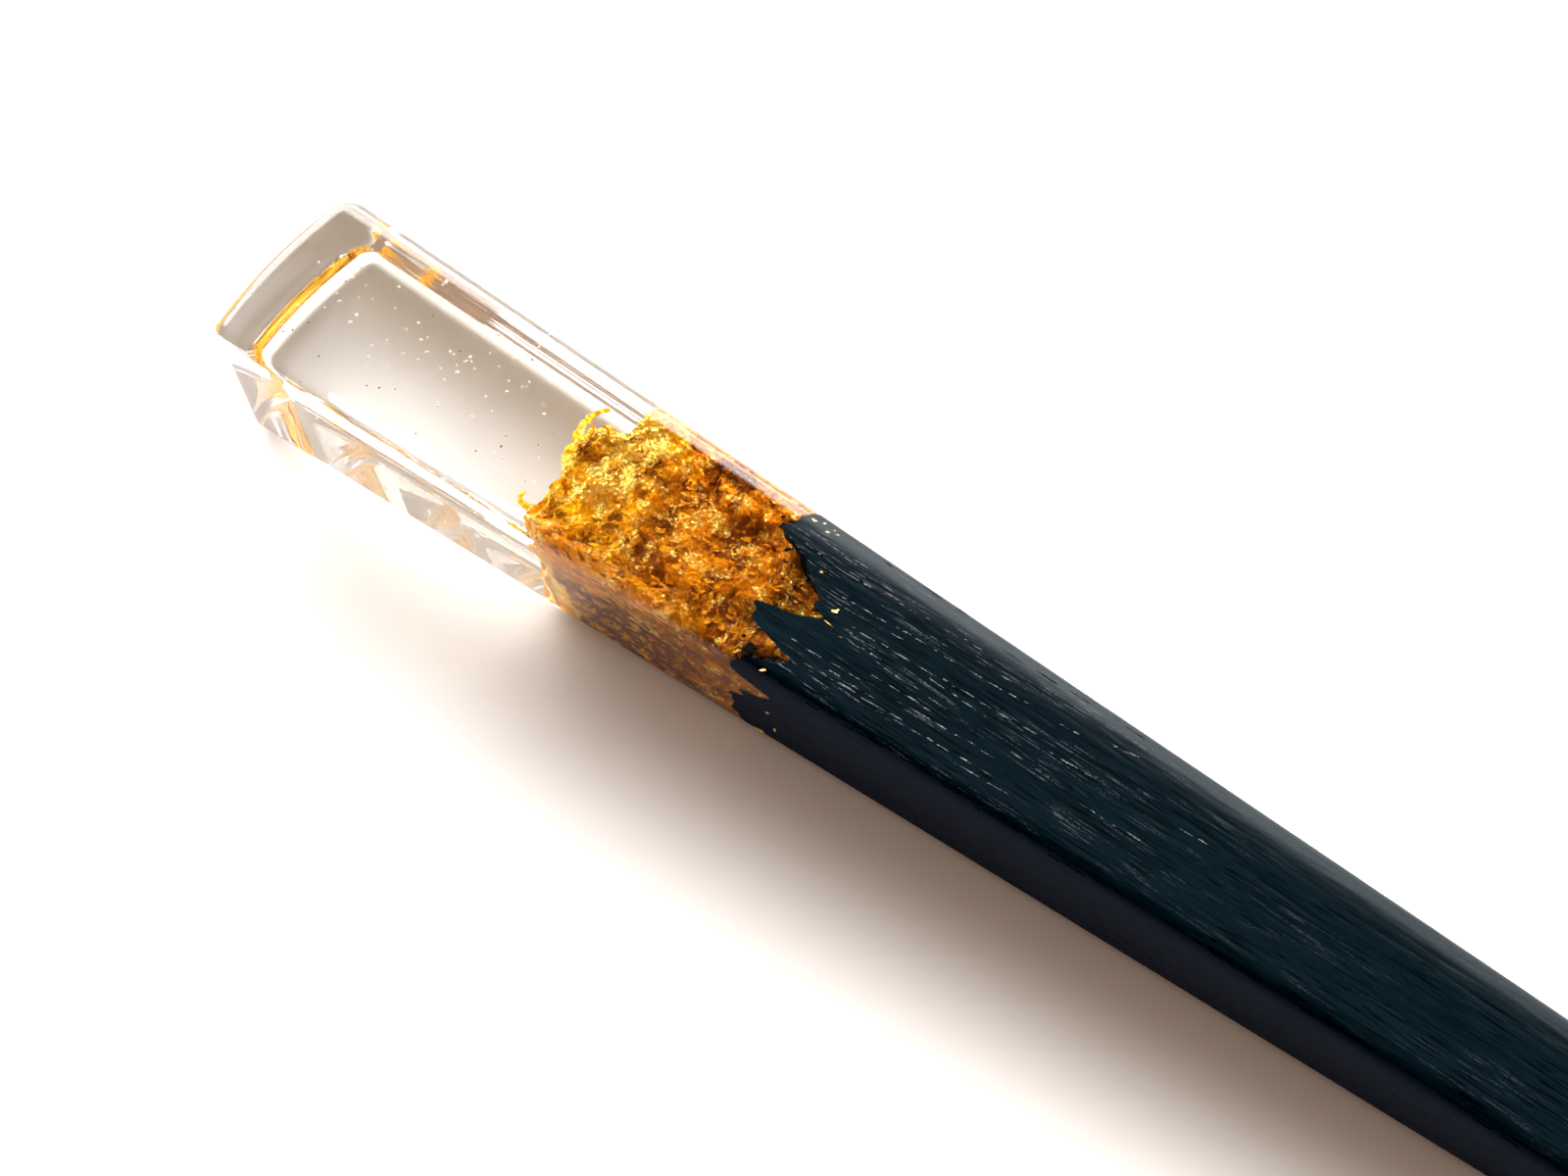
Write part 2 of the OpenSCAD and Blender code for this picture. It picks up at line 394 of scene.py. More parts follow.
# The rows lie closer together towards the rim, so that its edge stays crisp
ROW_CROWDING = 1.7
FILLET_STEPS = 40
SMALLEST_CORNER = 0.15 * MM
# The edge radii change over from side to side within this distance of the axis
SIDE_BLEND = 0.01 * MM
# Least length that another is divided by, and the distance within which points are joined
LEAST_LENGTH = 0.001 * MM
JOIN_WITHIN = 1e-7


def bar_grid(tree, size):
    """A grid to be laid round the stick: its mesh, the way along and the way round from 0 to 1, and
    the point of the head's outline there, measured from the axis"""
    grid = tree.nodes.new("GeometryNodeMeshGrid")
    feed(tree, grid.inputs["Vertices X"], size["Rows along"])
    feed(tree, grid.inputs["Vertices Y"], size["Rows around"])
    # The grid reaches half a metre either side of its middle
    x, y, _ = xyz(tree, add(tree, "GeometryNodeInputPosition"))
    along = x + 0.5
    around = y + 0.5
    square = add(
        tree, "GeometryNodeCurvePrimitiveQuadrilateral", Width=size["Head width"], Height=size["Head height"],
    )
    rounded = add(
        tree, "GeometryNodeFilletCurve", settings={"mode": "POLY"},
        Curve=square, Count=FILLET_STEPS, Radius=size["Edge radius"],
    )
    sample = tree.nodes.new("GeometryNodeSampleCurve")
    sample.mode = "FACTOR"
    feed(tree, sample.inputs["Curves"], rounded)
    feed(tree, sample.inputs["Factor"], around)
    y0, z0, _ = xyz(tree, Term(tree, sample.outputs["Position"]))
    return Term(tree, grid.outputs["Mesh"]), along, around, y0, z0


def section(size, u, y, z):
    """Width and height of the stick at the station u, and the radius of the edge nearest to (y, z), which
    is measured from the axis"""
    tip_u = size["Stick length"] - size["Tip diameter"] / 2
    way = (u / tip_u).limit(0.0, 1.0)
    width = size["Head width"] + (size["Tip diameter"] - size["Head width"]) * way
    height = size["Head height"] + (size["Tip diameter"] - size["Head height"]) * way
    tip_edge = (size["Tip diameter"] - size["Tip flat"]) / 2
    under = z.ramp(-SIDE_BLEND, SIDE_BLEND, 1.0, 0.0)
    near = y.ramp(-SIDE_BLEND, SIDE_BLEND, 1.0, 0.0)
    upper_edge = size["Edge radius"] + (size["Near edge radius"] - size["Edge radius"]) * near
    head_edge = upper_edge + (size["Under edge radius"] - upper_edge) * under
    return width, height, head_edge + (tip_edge - head_edge) * way


def kept_under(tree, size, geometry, skin):
    """Pulls in whatever of a geometry would stand closer than the skin to the stick's surface"""
    x, y, z = xyz(tree, add(tree, "GeometryNodeInputPosition"))
    u = x - HEAD_X
    _, height, _ = section(size, u, y, z)
    up = z - height / 2
    width, height, edge = section(size, u, y, up)
    corner = (edge - skin).math("MAXIMUM", SMALLEST_CORNER)
    flat_y = width / 2 - skin - corner
    flat_z = height / 2 - skin - corner
    core_y = y.within(flat_y)
    core_z = up.within(flat_z)
    over_y = y - core_y
    over_z = up - core_z
    over = (over_y * over_y + over_z * over_z).math("SQRT").math("MAXIMUM", LEAST_LENGTH)
    pull = (corner / over).math("MINIMUM", 1.0)
    place = vector(tree, x, core_y + over_y * pull, core_z + over_z * pull + height / 2)
    return add(tree, "GeometryNodeSetPosition", Geometry=geometry, Position=place)


def tapered(size, u, y0, z0, inset):
    """The head's outline point (y0, z0) brought to the station u: the straight stretches shrink with
    the taper, and each rounded corner takes its own radius there less inset. Also the height of the axis."""
    width, height, edge = section(size, u, y0, z0)
    flat_y = size["Head width"] / 2 - size["Edge radius"]
    flat_z = size["Head height"] / 2 - size["Edge radius"]
    core_y = y0.within(flat_y)
    core_z = z0.within(flat_z)
    corner = (edge - inset).math("MAXIMUM", SMALLEST_CORNER)
    y = core_y * (width / 2 - inset - corner) / flat_y + (y0 - core_y) * corner / size["Edge radius"]
    z = core_z * (height / 2 - inset - corner) / flat_z + (z0 - core_z) * corner / size["Edge radius"]
    return y, z, height / 2


def splintered(tree, size, around, share):
    """Station of the ragged rim on the way round, at a share of the section from the axis"""
    frayed = add(
        tree, "ShaderNodeTexNoise", 0, {"noise_dimensions": "1D"}, W=around, Scale=FRAY_COUNT, Detail=3.0,
    )
    reach = curve_of(tree, SPLINTERS, around) + (frayed - NOISE_MIDDLE) * FRAY_SHARE
    return size["Rim place"] + size["Rim reach"] * reach * share


def lay(tree, mesh, u, y, z, share, axis_height):
    """Puts the grid's points in the frame, faces outwards, and closes its seam and its ends"""
    placed = add(
        tree, "GeometryNodeSetPosition", Geometry=mesh,
        Position=vector(tree, u + HEAD_X, y * share, z * share + axis_height),
    )
    outward = add(tree, "GeometryNodeFlipFaces", Mesh=placed)
    return add(tree, "GeometryNodeMergeByDistance", Geometry=outward, Distance=JOIN_WITHIN)


# Shares of the rows along the clear head where its dome, its rounding and its straight run end
RESIN_ROWS = (0.12, 0.26, 0.93)


def resin_tree():
    """The clear head: domed end, rounded edge round it, straight run to the ragged rim, and an end
    that is hidden in the wood"""
    inputs = {
        **BAR_INPUTS, "End rounding": float, "Under end rounding": float, "Under end rise": float,
        "Dome radius": float, "Root": float, "Material": bpy.types.Material,
    }
    tree, size = new_tree("clear head", inputs)
    mesh, along, around, y0, z0 = bar_grid(tree, size)
    dome_end, rounding_end, run_end = RESIN_ROWS
    share = along.ramp(0.0, dome_end) * along.ramp(run_end, 1.0, 1.0, 0.0)
    turn = along.ramp(dome_end, rounding_end, 0.0, radians(90))
    run = 1.0 - along.ramp(rounding_end, run_end, 1.0, 0.0).math("POWER", ROW_CROWDING)
    half_height = size["Head height"] / 2
    rounding = z0.ramp(half_height * -1.0, half_height, size["Under end rounding"], size["End rounding"])
    rise = z0.ramp(half_height * -1.0, half_height, size["Under end rise"], size["End rounding"])
    inset = rise * (1.0 - turn.math("SINE"))
    rim = splintered(tree, size, around, share) + along.ramp(run_end, 1.0) * size["Root"]
    front = rounding * (1.0 - turn.math("COSINE"))
    u = front + run * (rim - front)
    y, z, axis = tapered(size, u, y0, z0, inset)
    dome = (y * share).math("POWER", 2.0) / (size["Dome radius"] * 2.0)
    u = u + dome * (1.0 - run)
    body = lay(tree, mesh, u, y, z, share, axis)
    close_tree(tree, body, size["Material"], True)
    return tree


# How many times as long as wide the figure of the wood is
GRAIN_STRETCH = 14.0


def grainwise(tree, place, stretch=GRAIN_STRETCH):
    """Place with the stick's length drawn together, so that noise on it runs with the grain"""
    return combine(tree, "MULTIPLY", place, (1 / stretch, 1.0, 1.0))


# Shares of the rows along the wood where its broken end, its run and its round tip end
WOOD_ROWS = (0.03, 0.95, 0.997)
# Noise between which a pore deepens, and the share of the rows over which pores begin
PORE_EDGES = (0.52, 0.72)
PORE_START = 0.05
# Faces that point further than this to the near side take their own finish
NEAR_FACING = -0.7


def shaft_tree():
    """The wood from its ragged rim to the round tip, with open pores along its grain"""
    inputs = {
        **BAR_INPUTS, "Pore depth": float, "Material": bpy.types.Material,
        "Near side material": bpy.types.Material,
    }
    tree, size = new_tree("tapered shaft", inputs)
    mesh, along, around, y0, z0 = bar_grid(tree, size)
    break_end, run_end, cap = WOOD_ROWS
    share = along.ramp(0.0, break_end) * along.ramp(cap, 1.0, 1.0, 0.0)
    turn = along.ramp(run_end, cap, 0.0, radians(90))
    run = along.ramp(break_end, run_end).math("POWER", ROW_CROWDING)
    tip_u = size["Stick length"] - size["Tip diameter"] / 2
    rim = splintered(tree, size, around, share)
    u = rim + run * (tip_u - rim) + size["Tip diameter"] / 2 * turn.math("SINE")
    inset = (size["Tip diameter"] - size["Tip flat"]) / 2 * (1.0 - turn.math("COSINE"))
    y, z, axis = tapered(size, u, y0, z0, inset)
    body = lay(tree, mesh, u, y, z, share, axis)
    pores = noise(tree, grainwise(tree, add(tree, "GeometryNodeInputPosition")), PORE_WIDTH, Detail=2.0)
    depth = pores.ramp(*PORE_EDGES) * size["Pore depth"] * along.ramp(break_end, break_end + PORE_START)
    normal = add(tree, "GeometryNodeInputNormal")
    worn = moved(tree, body, combine(tree, "SCALE", normal, scale=depth * -1.0))
    _, facing, _ = xyz(tree, normal)
    near_side = facing.math("LESS_THAN", NEAR_FACING)
    close_tree(tree, worn, size["Material"], True, near_side, size["Near side material"])
    return tree


GOLD_INPUTS = {**BAR_INPUTS, "Clear length": float, "Skin": float, "Hollows": float, "Seed": int}
GOLD_VALUES = {**BAR_VALUES, "Clear length": CLEAR_L, "Skin": GOLD_SKIN, "Hollows": GOLD_HOLLOWS, "Seed": 7}
# Shares of the rows along the gold where its front face and its run end, and how sharply the face rounds
GOLD_ROWS = (0.2, 0.95)
FACE_POWER = 6.0
# Shares of the run over which the gold comes up to the rim, and how far out its sides begin
TO_RIM = (0.6, 0.92)
AT_SIDE = (4.2 * MM, 5.4 * MM)
# Calmer leaf along the near and the far side: where it changes, and the share of the crumples there
NEAR_CALM = (-5.0 * MM, -3.4 * MM, 0.35, 1.0)
FAR_CALM = (3.9 * MM, 4.9 * MM, 1.0, 0.25)
# Drift that bends the folds: its grain and its reach
DRIFT_GRAIN = 1.5 * MM
DRIFT_REACH = 1.2 * MM
# Crumples, from the widest to the finest: their grains and their shares of the depth
HOLLOW_GRAIN = 2.6 * MM
HOLLOW_EDGES = (0.38, 0.72)
HOLLOW_SHARE = 0.75
FOLD_GRAIN = 1.3 * MM
FOLD_SHARE = 0.5
SMALL_FOLD_GRAIN = 0.62 * MM
SMALL_FOLD_SHARE = 0.3
CREASE_GRAIN = 0.33 * MM
CREASE_SHARE = 0.12
FINE_SHARE = 0.5
# Patches of one tone, and what is left of the crumples on the front face and along the rows to the rim
PATCH_GRAIN = 0.75 * MM
FACE_KEPT = 0.45
RIM_KEPT = (0.72, 0.9, 1.0, 0.03)


def gilded_form(tree, size):
    """The crumpled outside of the gold: its mesh, how deep each point is pressed in, and its patch's tone"""
    mesh, along, around, y0, z0 = bar_grid(tree, size)
    face_end, run_end = GOLD_ROWS
    share = along.ramp(0.0, face_end) * along.ramp(run_end, 1.0, 1.0, 0.0)
    run = along.ramp(face_end, run_end)
    face = FRONT_MIDDLE + (curve_of(tree, FRONT, around) * FRONT_REACH - FRONT_MIDDLE) * share
    front = size["Clear length"] + face + FRONT_ROUND * (along.ramp(0.0, face_end).math("POWER", FACE_POWER))
    rim = splintered(tree, size, around, share) + GOLD_ROOT
    u = front + run * (rim - front)
    to_rim = run.ramp(*TO_RIM, smooth=True)
    at_side = y0.math("ABSOLUTE").ramp(*AT_SIDE)
    skin = size["Skin"] + (GOLD_SIDE_SKIN - size["Skin"]) * at_side
    skin = skin + (RIM_SKIN - skin) * to_rim
    softer = {**size, "Near edge radius": size["Near edge radius"] + GOLD_NEAR_ROUND * (1.0 - to_rim)}
    y, z, axis = tapered(softer, u, y0, z0, skin)
    body = lay(tree, mesh, u, y, z, share, axis)
    place = add(tree, "GeometryNodeInputPosition")
    _, side, _ = xyz(tree, place)
    calm = side.ramp(*NEAR_CALM, smooth=True) * side.ramp(*FAR_CALM)
    bent = combine(tree, "ADD", place, jitter(tree, place, DRIFT_GRAIN, DRIFT_REACH, Detail=1.0))
    hollows = noise(tree, place, HOLLOW_GRAIN, Detail=1.0).ramp(*HOLLOW_EDGES)
    small_folds = cells(tree, bent, SMALL_FOLD_GRAIN, "CHEBYCHEV") * SMALL_FOLD_SHARE
    folds = cells(tree, bent, FOLD_GRAIN) * FOLD_SHARE + small_folds
    creases = cells(tree, bent, CREASE_GRAIN) * CREASE_SHARE
    depth = (hollows * HOLLOW_SHARE + folds * FINE_SHARE + creases * FINE_SHARE) * calm
    patch, _, _ = xyz(tree, cells(tree, bent, PATCH_GRAIN, out="Color"))
    normal = add(tree, "GeometryNodeInputNormal")
    kept = along.ramp(0.0, face_end, FACE_KEPT, 1.0) * along.ramp(*RIM_KEPT)
    pressed = combine(tree, "SCALE", normal, scale=depth * size["Hollows"] * kept * -1.0)
    return kept_under(tree, size, moved(tree, body, pressed), RIM_SKIN), depth, patch


def noted(tree, geometry, name, value, domain="POINT"):
    """Keeps a value on the geometry for its material to read"""
    return add(
        tree, "GeometryNodeStoreNamedAttribute", settings={"data_type": "FLOAT", "domain": domain},
        Geometry=geometry, Name=name, Value=value,
    )


def gold_skin_tree():
    """Crumpled gold over the broken end"""
    tree, size = new_tree("gilded end", {**GOLD_INPUTS, "Material": bpy.types.Material})
    form, depth, patch = gilded_form(tree, size)
    skin = noted(tree, noted(tree, noted(tree, form, "hollow", depth), "tone", patch), "cast", 1.0)
    close_tree(tree, skin, size["Material"], False)
    return tree


CURL_INPUTS = {
    "Root": Vector, "Root pull": Vector, "Tip pull": Vector, "Tip": Vector, "Width": float,
    "Thickness": float, "Turn": float, "Crumple": float, "Crumple reach": float,
}
# Steps along a curl and round it
CURL_STEPS = 60
CURL_ROUND = 20


def curl_tree():
    """A strip of leaf that leaves the gold along a curve, narrowing to its tip"""
    tree, size = new_tree("curl of leaf", {**CURL_INPUTS, "Material": bpy.types.Material})
    path = add(
        tree, "GeometryNodeCurvePrimitiveBezierSegment", Resolution=CURL_STEPS, Start=size["Root"],
        Start_Handle=size["Root pull"], End_Handle=size["Tip pull"], End=size["Tip"],
    )
    tilted = add(tree, "GeometryNodeSetCurveTilt", Curve=path, Tilt=size["Turn"])
    outline = add(
        tree, "GeometryNodeCurvePrimitiveCircle", 0, Resolution=CURL_ROUND, Radius=size["Width"] / 2,
    )
    flat = vector(tree, 1.0, size["Thickness"] / size["Width"], 1.0)
    outline = add(tree, "GeometryNodeTransform", Geometry=outline, Scale=flat)
    way = add(tree, "GeometryNodeSplineParameter", "Factor")
    width = curve_of(tree, CURL_WIDTHS, way)
    strip = add(
        tree, "GeometryNodeCurveToMesh", Curve=tilted, Profile_Curve=outline, Scale=width, Fill_Caps=True,
    )
    place = add(tree, "GeometryNodeInputPosition")
    bent = moved(tree, strip, jitter(tree, place, size["Crumple"], size["Crumple reach"], Detail=2.0))
    close_tree(tree, bent, size["Material"], False)
    return tree


def curl(name, tree, points, **values):
    """One curl, from its four points given as station, across and up in millimetres"""
    titles = ("Root", "Root pull", "Tip pull", "Tip")
    places = {title: (u * MM + HEAD_X, y * MM, z * MM) for title, (u, y, z) in zip(titles, points)}
    return grown(name, tree, {**places, **values})


# Turns and stretches that the specks in the resin are drawn from
SPECK_TURNS = ((0.0, 0.0, 0.0), (6.3, 6.3, 6.3))
SPECK_STRETCHES = ((0.3, 0.3, 0.3), (1.5, 1.0, 1.0))


def dust_tree():
    """Specks of dust and tiny bubbles all through the clear length"""
    inputs = {
        "Count": int, "Speck radius": float, "Lowest": Vector, "Highest": Vector, "Seed": int,
        "Material": bpy.types.Material,
    }
    tree, size = new_tree("dust in the resin", inputs)
    spread = random_vector(tree, size["Lowest"], size["Highest"], size["Seed"])
    points = add(tree, "GeometryNodePoints", Count=size["Count"], Position=spread)
    speck = add(tree, "GeometryNodeMeshIcoSphere", Radius=size["Speck radius"], Subdivisions=2)
    turn = random_vector(tree, *SPECK_TURNS, size["Seed"] + 1)
    stretch = random_vector(tree, *SPECK_STRETCHES, size["Seed"] + 2)
    set_out = add(
        tree, "GeometryNodeInstanceOnPoints", Points=points, Instance=speck,
        Rotation=add(tree, "FunctionNodeEulerToRotation", Euler=turn), Scale=stretch,
    )
    close_tree(tree, set_out, size["Material"], True)
    return tree


# Scraps lie in flocks: the flocks' grain, and the noise over which one begins
FLOCK_GRAIN = 1.5 * MM
FLOCK_EDGES = (0.4, 0.56)
# Where the scraps thin out to the near side, to the far side and downwards, and the share left there
SCRAPS_NEAR = (-4.3 * MM, -3.5 * MM)
SCRAPS_FAR = (4.2 * MM, 4.9 * MM, 1.0, 0.15)
SCRAPS_LOW = (0.6 * MM, 1.6 * MM, 0.3, 1.0)
# Greatest turn of a scrap either way as it lies, and the stretches that scraps are drawn from
HALF_TURN = 3.14
SCRAP_STRETCHES = ((0.5, 0.3, 0.8), (1.3, 0.9, 1.2))
# Resin over the scraps, as a share of the resin over the gold
SCRAP_SKIN = 0.6


def scraps_tree():
    """Scraps of leaf that lie on the gold every way, each a thin crumpled disc"""
    inputs = {
        **GOLD_INPUTS, "Count per square metre": float, "Sparse": float, "Scrap radius": float,
        "Scrap thickness": float, "Sides": int, "Rings": int, "Tilt": float, "Crumple": float,
        "Crumple reach": float, "Material": bpy.types.Material,
    }
    tree, size = new_tree("scraps of leaf", inputs)
    form, _, _ = gilded_form(tree, size)
    points = tree.nodes.new("GeometryNodeDistributePointsOnFaces")
    feed(tree, points.inputs["Mesh"], form)
    spot = add(tree, "GeometryNodeInputPosition")
    _, across, up = xyz(tree, spot)
    flock = noise(tree, spot, FLOCK_GRAIN, Detail=1.0).ramp(*FLOCK_EDGES, size["Sparse"], 1.0)
    clear_of_sides = across.ramp(*SCRAPS_NEAR) * across.ramp(*SCRAPS_FAR)
    thick = flock * clear_of_sides * up.ramp(*SCRAPS_LOW)
    feed(tree, points.inputs["Density"], size["Count per square metre"] * thick)
    feed(tree, points.inputs["Seed"], size["Seed"])
    disc = add(
        tree, "GeometryNodeMeshUVSphere", Segments=size["Sides"], Rings=size["Rings"],
        Radius=size["Scrap radius"],
    )
    flat = vector(tree, 1.0, 1.0, size["Scrap thickness"] / size["Scrap radius"])
    disc = add(tree, "GeometryNodeTransform", Geometry=disc, Scale=flat)
    tilt = size["Tilt"]
    least_turn = vector(tree, tilt * -1.0, tilt * -1.0, -HALF_TURN)
    turn = random_vector(tree, least_turn, vector(tree, tilt, tilt, HALF_TURN), size["Seed"])
    turned = add(
        tree, "FunctionNodeRotateRotation", settings={"rotation_space": "LOCAL"},
        i0=points.outputs["Rotation"], i1=add(tree, "FunctionNodeEulerToRotation", Euler=turn),
    )
    stretch = random_vector(tree, *SCRAP_STRETCHES, size["Seed"] + 1)
    set_out = add(
        tree, "GeometryNodeInstanceOnPoints", Points=points.outputs["Points"], Instance=disc,
        Rotation=turned, Scale=stretch,
    )
    tone = add(tree, "FunctionNodeRandomValue", 1, {"data_type": "FLOAT"}, Seed=size["Seed"] + 2)
    real = add(tree, "GeometryNodeRealizeInstances", Geometry=noted(tree, set_out, "tone", tone, "INSTANCE"))
    place = add(tree, "GeometryNodeInputPosition")
    bent = moved(tree, real, jitter(tree, place, size["Crumple"], size["Crumple reach"], Detail=1.0))
    kept = kept_under(tree, size, bent, size["Skin"] * SCRAP_SKIN)
    close_tree(tree, noted(tree, kept, "cast", 1.0), size["Material"], False)
    return tree


def laid(face, u, spot):
    """Where a spot of the wood's surface lies, with the directions along and across it there"""
    way = u / TIP_U
    width = HEAD_W + (TIP_D - HEAD_W) * way
    height = HEAD_H + (TIP_D - HEAD_H) * way
    x = u + HEAD_X
    along_top = Vector((1, 0, (TIP_D - HEAD_H) / TIP_U))
    if face == "top":
        return Vector((x, spot * MM, height)), along_top, Vector((0, 1, 0))
    if face == "near":
        along_side = Vector((1, (HEAD_W - TIP_D) / 2 / TIP_U, 0))
        return Vector((x, -width / 2, spot * MM)), along_side, Vector((0, 0, 1))
    turn = radians(spot)
    edge = EDGE_R + ((TIP_D - TIP_FLAT) / 2 - EDGE_R) * way
    place = Vector((x, width / 2 - edge + edge * sin(turn), height - edge + edge * cos(turn)))
    return place, along_top, Vector((0, cos(turn), -sin(turn)))


def flecks(name, rows, sink, finish, seed):
    """Small crumpled flakes, each a closed disc with a ragged rim, as one piece"""
    random = Random(seed)
    points = []
    faces = []
    for face, u, spot, length, width, turn in rows:
        middle, along, across = laid(face, u * MM, spot)
        out = along.cross(across).normalized()
        bearing = Matrix.Rotation(radians(turn), 3, out)
        reach = bearing @ along.normalized() * (length * MM / 2)
        spread = bearing @ out.cross(along).normalized() * (width * MM / 2)
        first = len(points)
        for share, lift in ((1.0, 0.0), (FLECK_INNER, 1.0)):
            for i in range(FLECK_POINTS):
                a = 2 * pi * i / FLECK_POINTS
                ragged = share * random.uniform(*FLECK_RAGGED)
                rise = lift * random.uniform(*FLECK_LIFT) * FLECK_HEIGHT
                points.append(middle + (reach * cos(a) + spread * sin(a)) * ragged + out * (rise - sink))
        points.append(middle + out * (FLECK_HEIGHT * FLECK_MIDDLE - sink))
        points.append(middle - out * (FLECK_HEIGHT * FLECK_MIDDLE + sink))
        top = first + 2 * FLECK_POINTS
        for i in range(FLECK_POINTS):
            rim, next_rim = first + i, first + (i + 1) % FLECK_POINTS
            inner, next_inner = rim + FLECK_POINTS, next_rim + FLECK_POINTS
            faces += [(rim, next_rim, next_inner, inner), (inner, next_inner, top), (next_rim, rim, top + 1)]
    mesh = bpy.data.meshes.new(name)
    mesh.from_pydata(points, [], faces)
    mesh.materials.append(finish)
    piece = bpy.data.objects.new(name, mesh)
    bpy.context.scene.collection.objects.link(piece)
    return piece


def beads(rows, seed):
    """Rows of flecks, short and long, of painted highlight along the pores given by their ends"""
    random = Random(seed)
    filled = []
    for start, end, across, across_end in rows:
        slope = (across_end - across) / (end - start)
        u = start
        while u < end:
            length = random.uniform(*BEAD_LENGTH)
            spot = across + slope * (u - start) + random.uniform(*BEAD_STRAY)
            width = random.uniform(*BEAD_WIDTH)
            filled.append(("top", u + length / 2, spot, length, width, slope * SLOPE_TURN))
            u += length + random.uniform(*BEAD_GAP)
    return filled


def material(name, **values):
    """A material with one Principled shader, its plain values set on its own sockets"""
    made = bpy.data.materials.new(name)
    made.use_nodes = True
    shader = made.node_tree.nodes["Principled BSDF"]
    for title, value in values.items():
        shader.inputs[title.replace("_", " ")].default_value = value
    return made, made.node_tree, shader


def object_place(tree):
    """Where a point of the piece lies in the shared frame"""
    return add(tree, "ShaderNodeTexCoord", "Object")


def stored(tree, name):
    """A value that the mesh carries for its material"""
    return add(
        tree, "ShaderNodeAttribute", "Fac", {"attribute_name": name, "attribute_type": "GEOMETRY"},
    )


def bumped(tree, shader, strength, distance, height):
    """Gives a shader's surface its relief"""
    bump = add(tree, "ShaderNodeBump", Strength=strength, Distance=distance, Height=height)
    feed(tree, shader.inputs["Normal"], bump)


def figure(tree, place, stretch, grain, detail):
    """Noise drawn out along the stick"""
    return noise(tree, grainwise(tree, place, stretch), grain, Detail=detail)


# Resin: how it bends and mirrors light, its tints from clear to the brown painted shade of its far side, end
# and far edge, and its faint haze
RESIN_IOR = 1.52
RESIN_MIRROR = (0.25, 0.25, 0.25, 1.0)
RESIN_CLEAR = (1.0, 1.0, 1.0, 1.0)
RESIN_SHADE_TINT = (0.80, 0.74, 0.655, 1.0)
RESIN_FAR_EDGE_SHADE = (0.62, 0.56, 0.48, 1.0)
RESIN_HAZE = (0.96, 0.92, 0.86, 1.0)
HAZE_GRAIN = 6 * MM
HAZE_SHARE = 0.15
# Where the painted shade comes in, across the head and towards its end, and where it deepens at the far edge
SHADE_ACROSS = (-0.5 * MM, 4 * MM)
SHADE_END = (-72.5 * MM, -73.8 * MM)
FAR_EDGE_SHADE_ACROSS = (4.6 * MM, 5.5 * MM)


def clear_resin():
    """Clear cast resin, browner towards its far side and its end with painted shade"""
    made, tree, shader = material(
        "clear_cast_resin", Roughness=0.0, IOR=RESIN_IOR, Transmission_Weight=1.0,
        Specular_Tint=RESIN_MIRROR,
    )
    place = object_place(tree)
    haze = noise(tree, place, HAZE_GRAIN)
    x, y, _ = xyz(tree, place)
    # Painted shade: the far half and the end take the tint of the shaded floor that shows through them
    shaded_part = y.ramp(*SHADE_ACROSS, smooth=True).math("MAXIMUM", x.ramp(*SHADE_END))
    tint = mixed(tree, shaded_part, RESIN_CLEAR, RESIN_SHADE_TINT)
    # Painted shade: the strip along the far edge is darker still
    tint = mixed(tree, y.ramp(*FAR_EDGE_SHADE_ACROSS, smooth=True), tint, RESIN_FAR_EDGE_SHADE)
    feed(tree, shader.inputs["Base Color"], mixed(tree, haze * HAZE_SHARE, tint, RESIN_HAZE))
    return made


# Black wood: the tint of its sheen, its two blacks, its pores and the painted highlights in some of them
WOOD_SHEEN = (0.85, 0.96, 1.0, 1.0)
WOOD_DARK = (0.0013, 0.0042, 0.0068, 1.0)
WOOD_LIGHT = (0.0032, 0.009, 0.0132, 1.0)
WOOD_PORE = (0.0005, 0.0008, 0.001, 1.0)
PORE_GLINT = (0.21, 0.22, 0.27, 1.0)
# Distances from the near and the far side over which the finish changes, and the near side's painted
# reflection comes in
SIDE_REFLECTION_ENDS = (0.5 * MM, 0.1 * MM)
TOP_FROM_NEAR = (0.2 * MM, 0.9 * MM)
TOP_FROM_FAR = (0.3 * MM, 1.2 * MM)
FAR_ROUND = (3.0 * MM, 1.0 * MM)
# Figures along the stick: how many times as long as wide, how wide, and the detail of the noise
BAND_GRAIN = 0.5 * MM
THREADS = (130.0, 0.09 * MM, 1.0)
CLUSTERS = (9.0, 0.9 * MM, 1.0)
GRIT = (2.0, 0.09 * MM, 1.0)
# Noise between which the dashes of painted highlight and the pores show
DASH_THREADS = (0.60, 0.66)
DASH_CLUSTERS = (0.46, 0.60)
DASH_GRIT = (0.36, 0.56)
PORE_THREADS = (0.42, 0.36)
# Strength of the dashes of painted highlight from the head towards the tip, and of the pores from the sides
# to the top
DASH_FADE = (-34 * MM, -12 * MM, 0.42, 0.08)
PORE_SHADE = (0.0, 1.0, 0.12, 0.7)
# Roughness over the bands, what the far rounding adds to it, and the relief
WOOD_ROUGHNESS = (0.3, 0.7, 0.14, 0.22)
FAR_ROUGHER = 0.28
WOOD_BUMP = 0.25
WOOD_RELIEF = 0.04 * MM


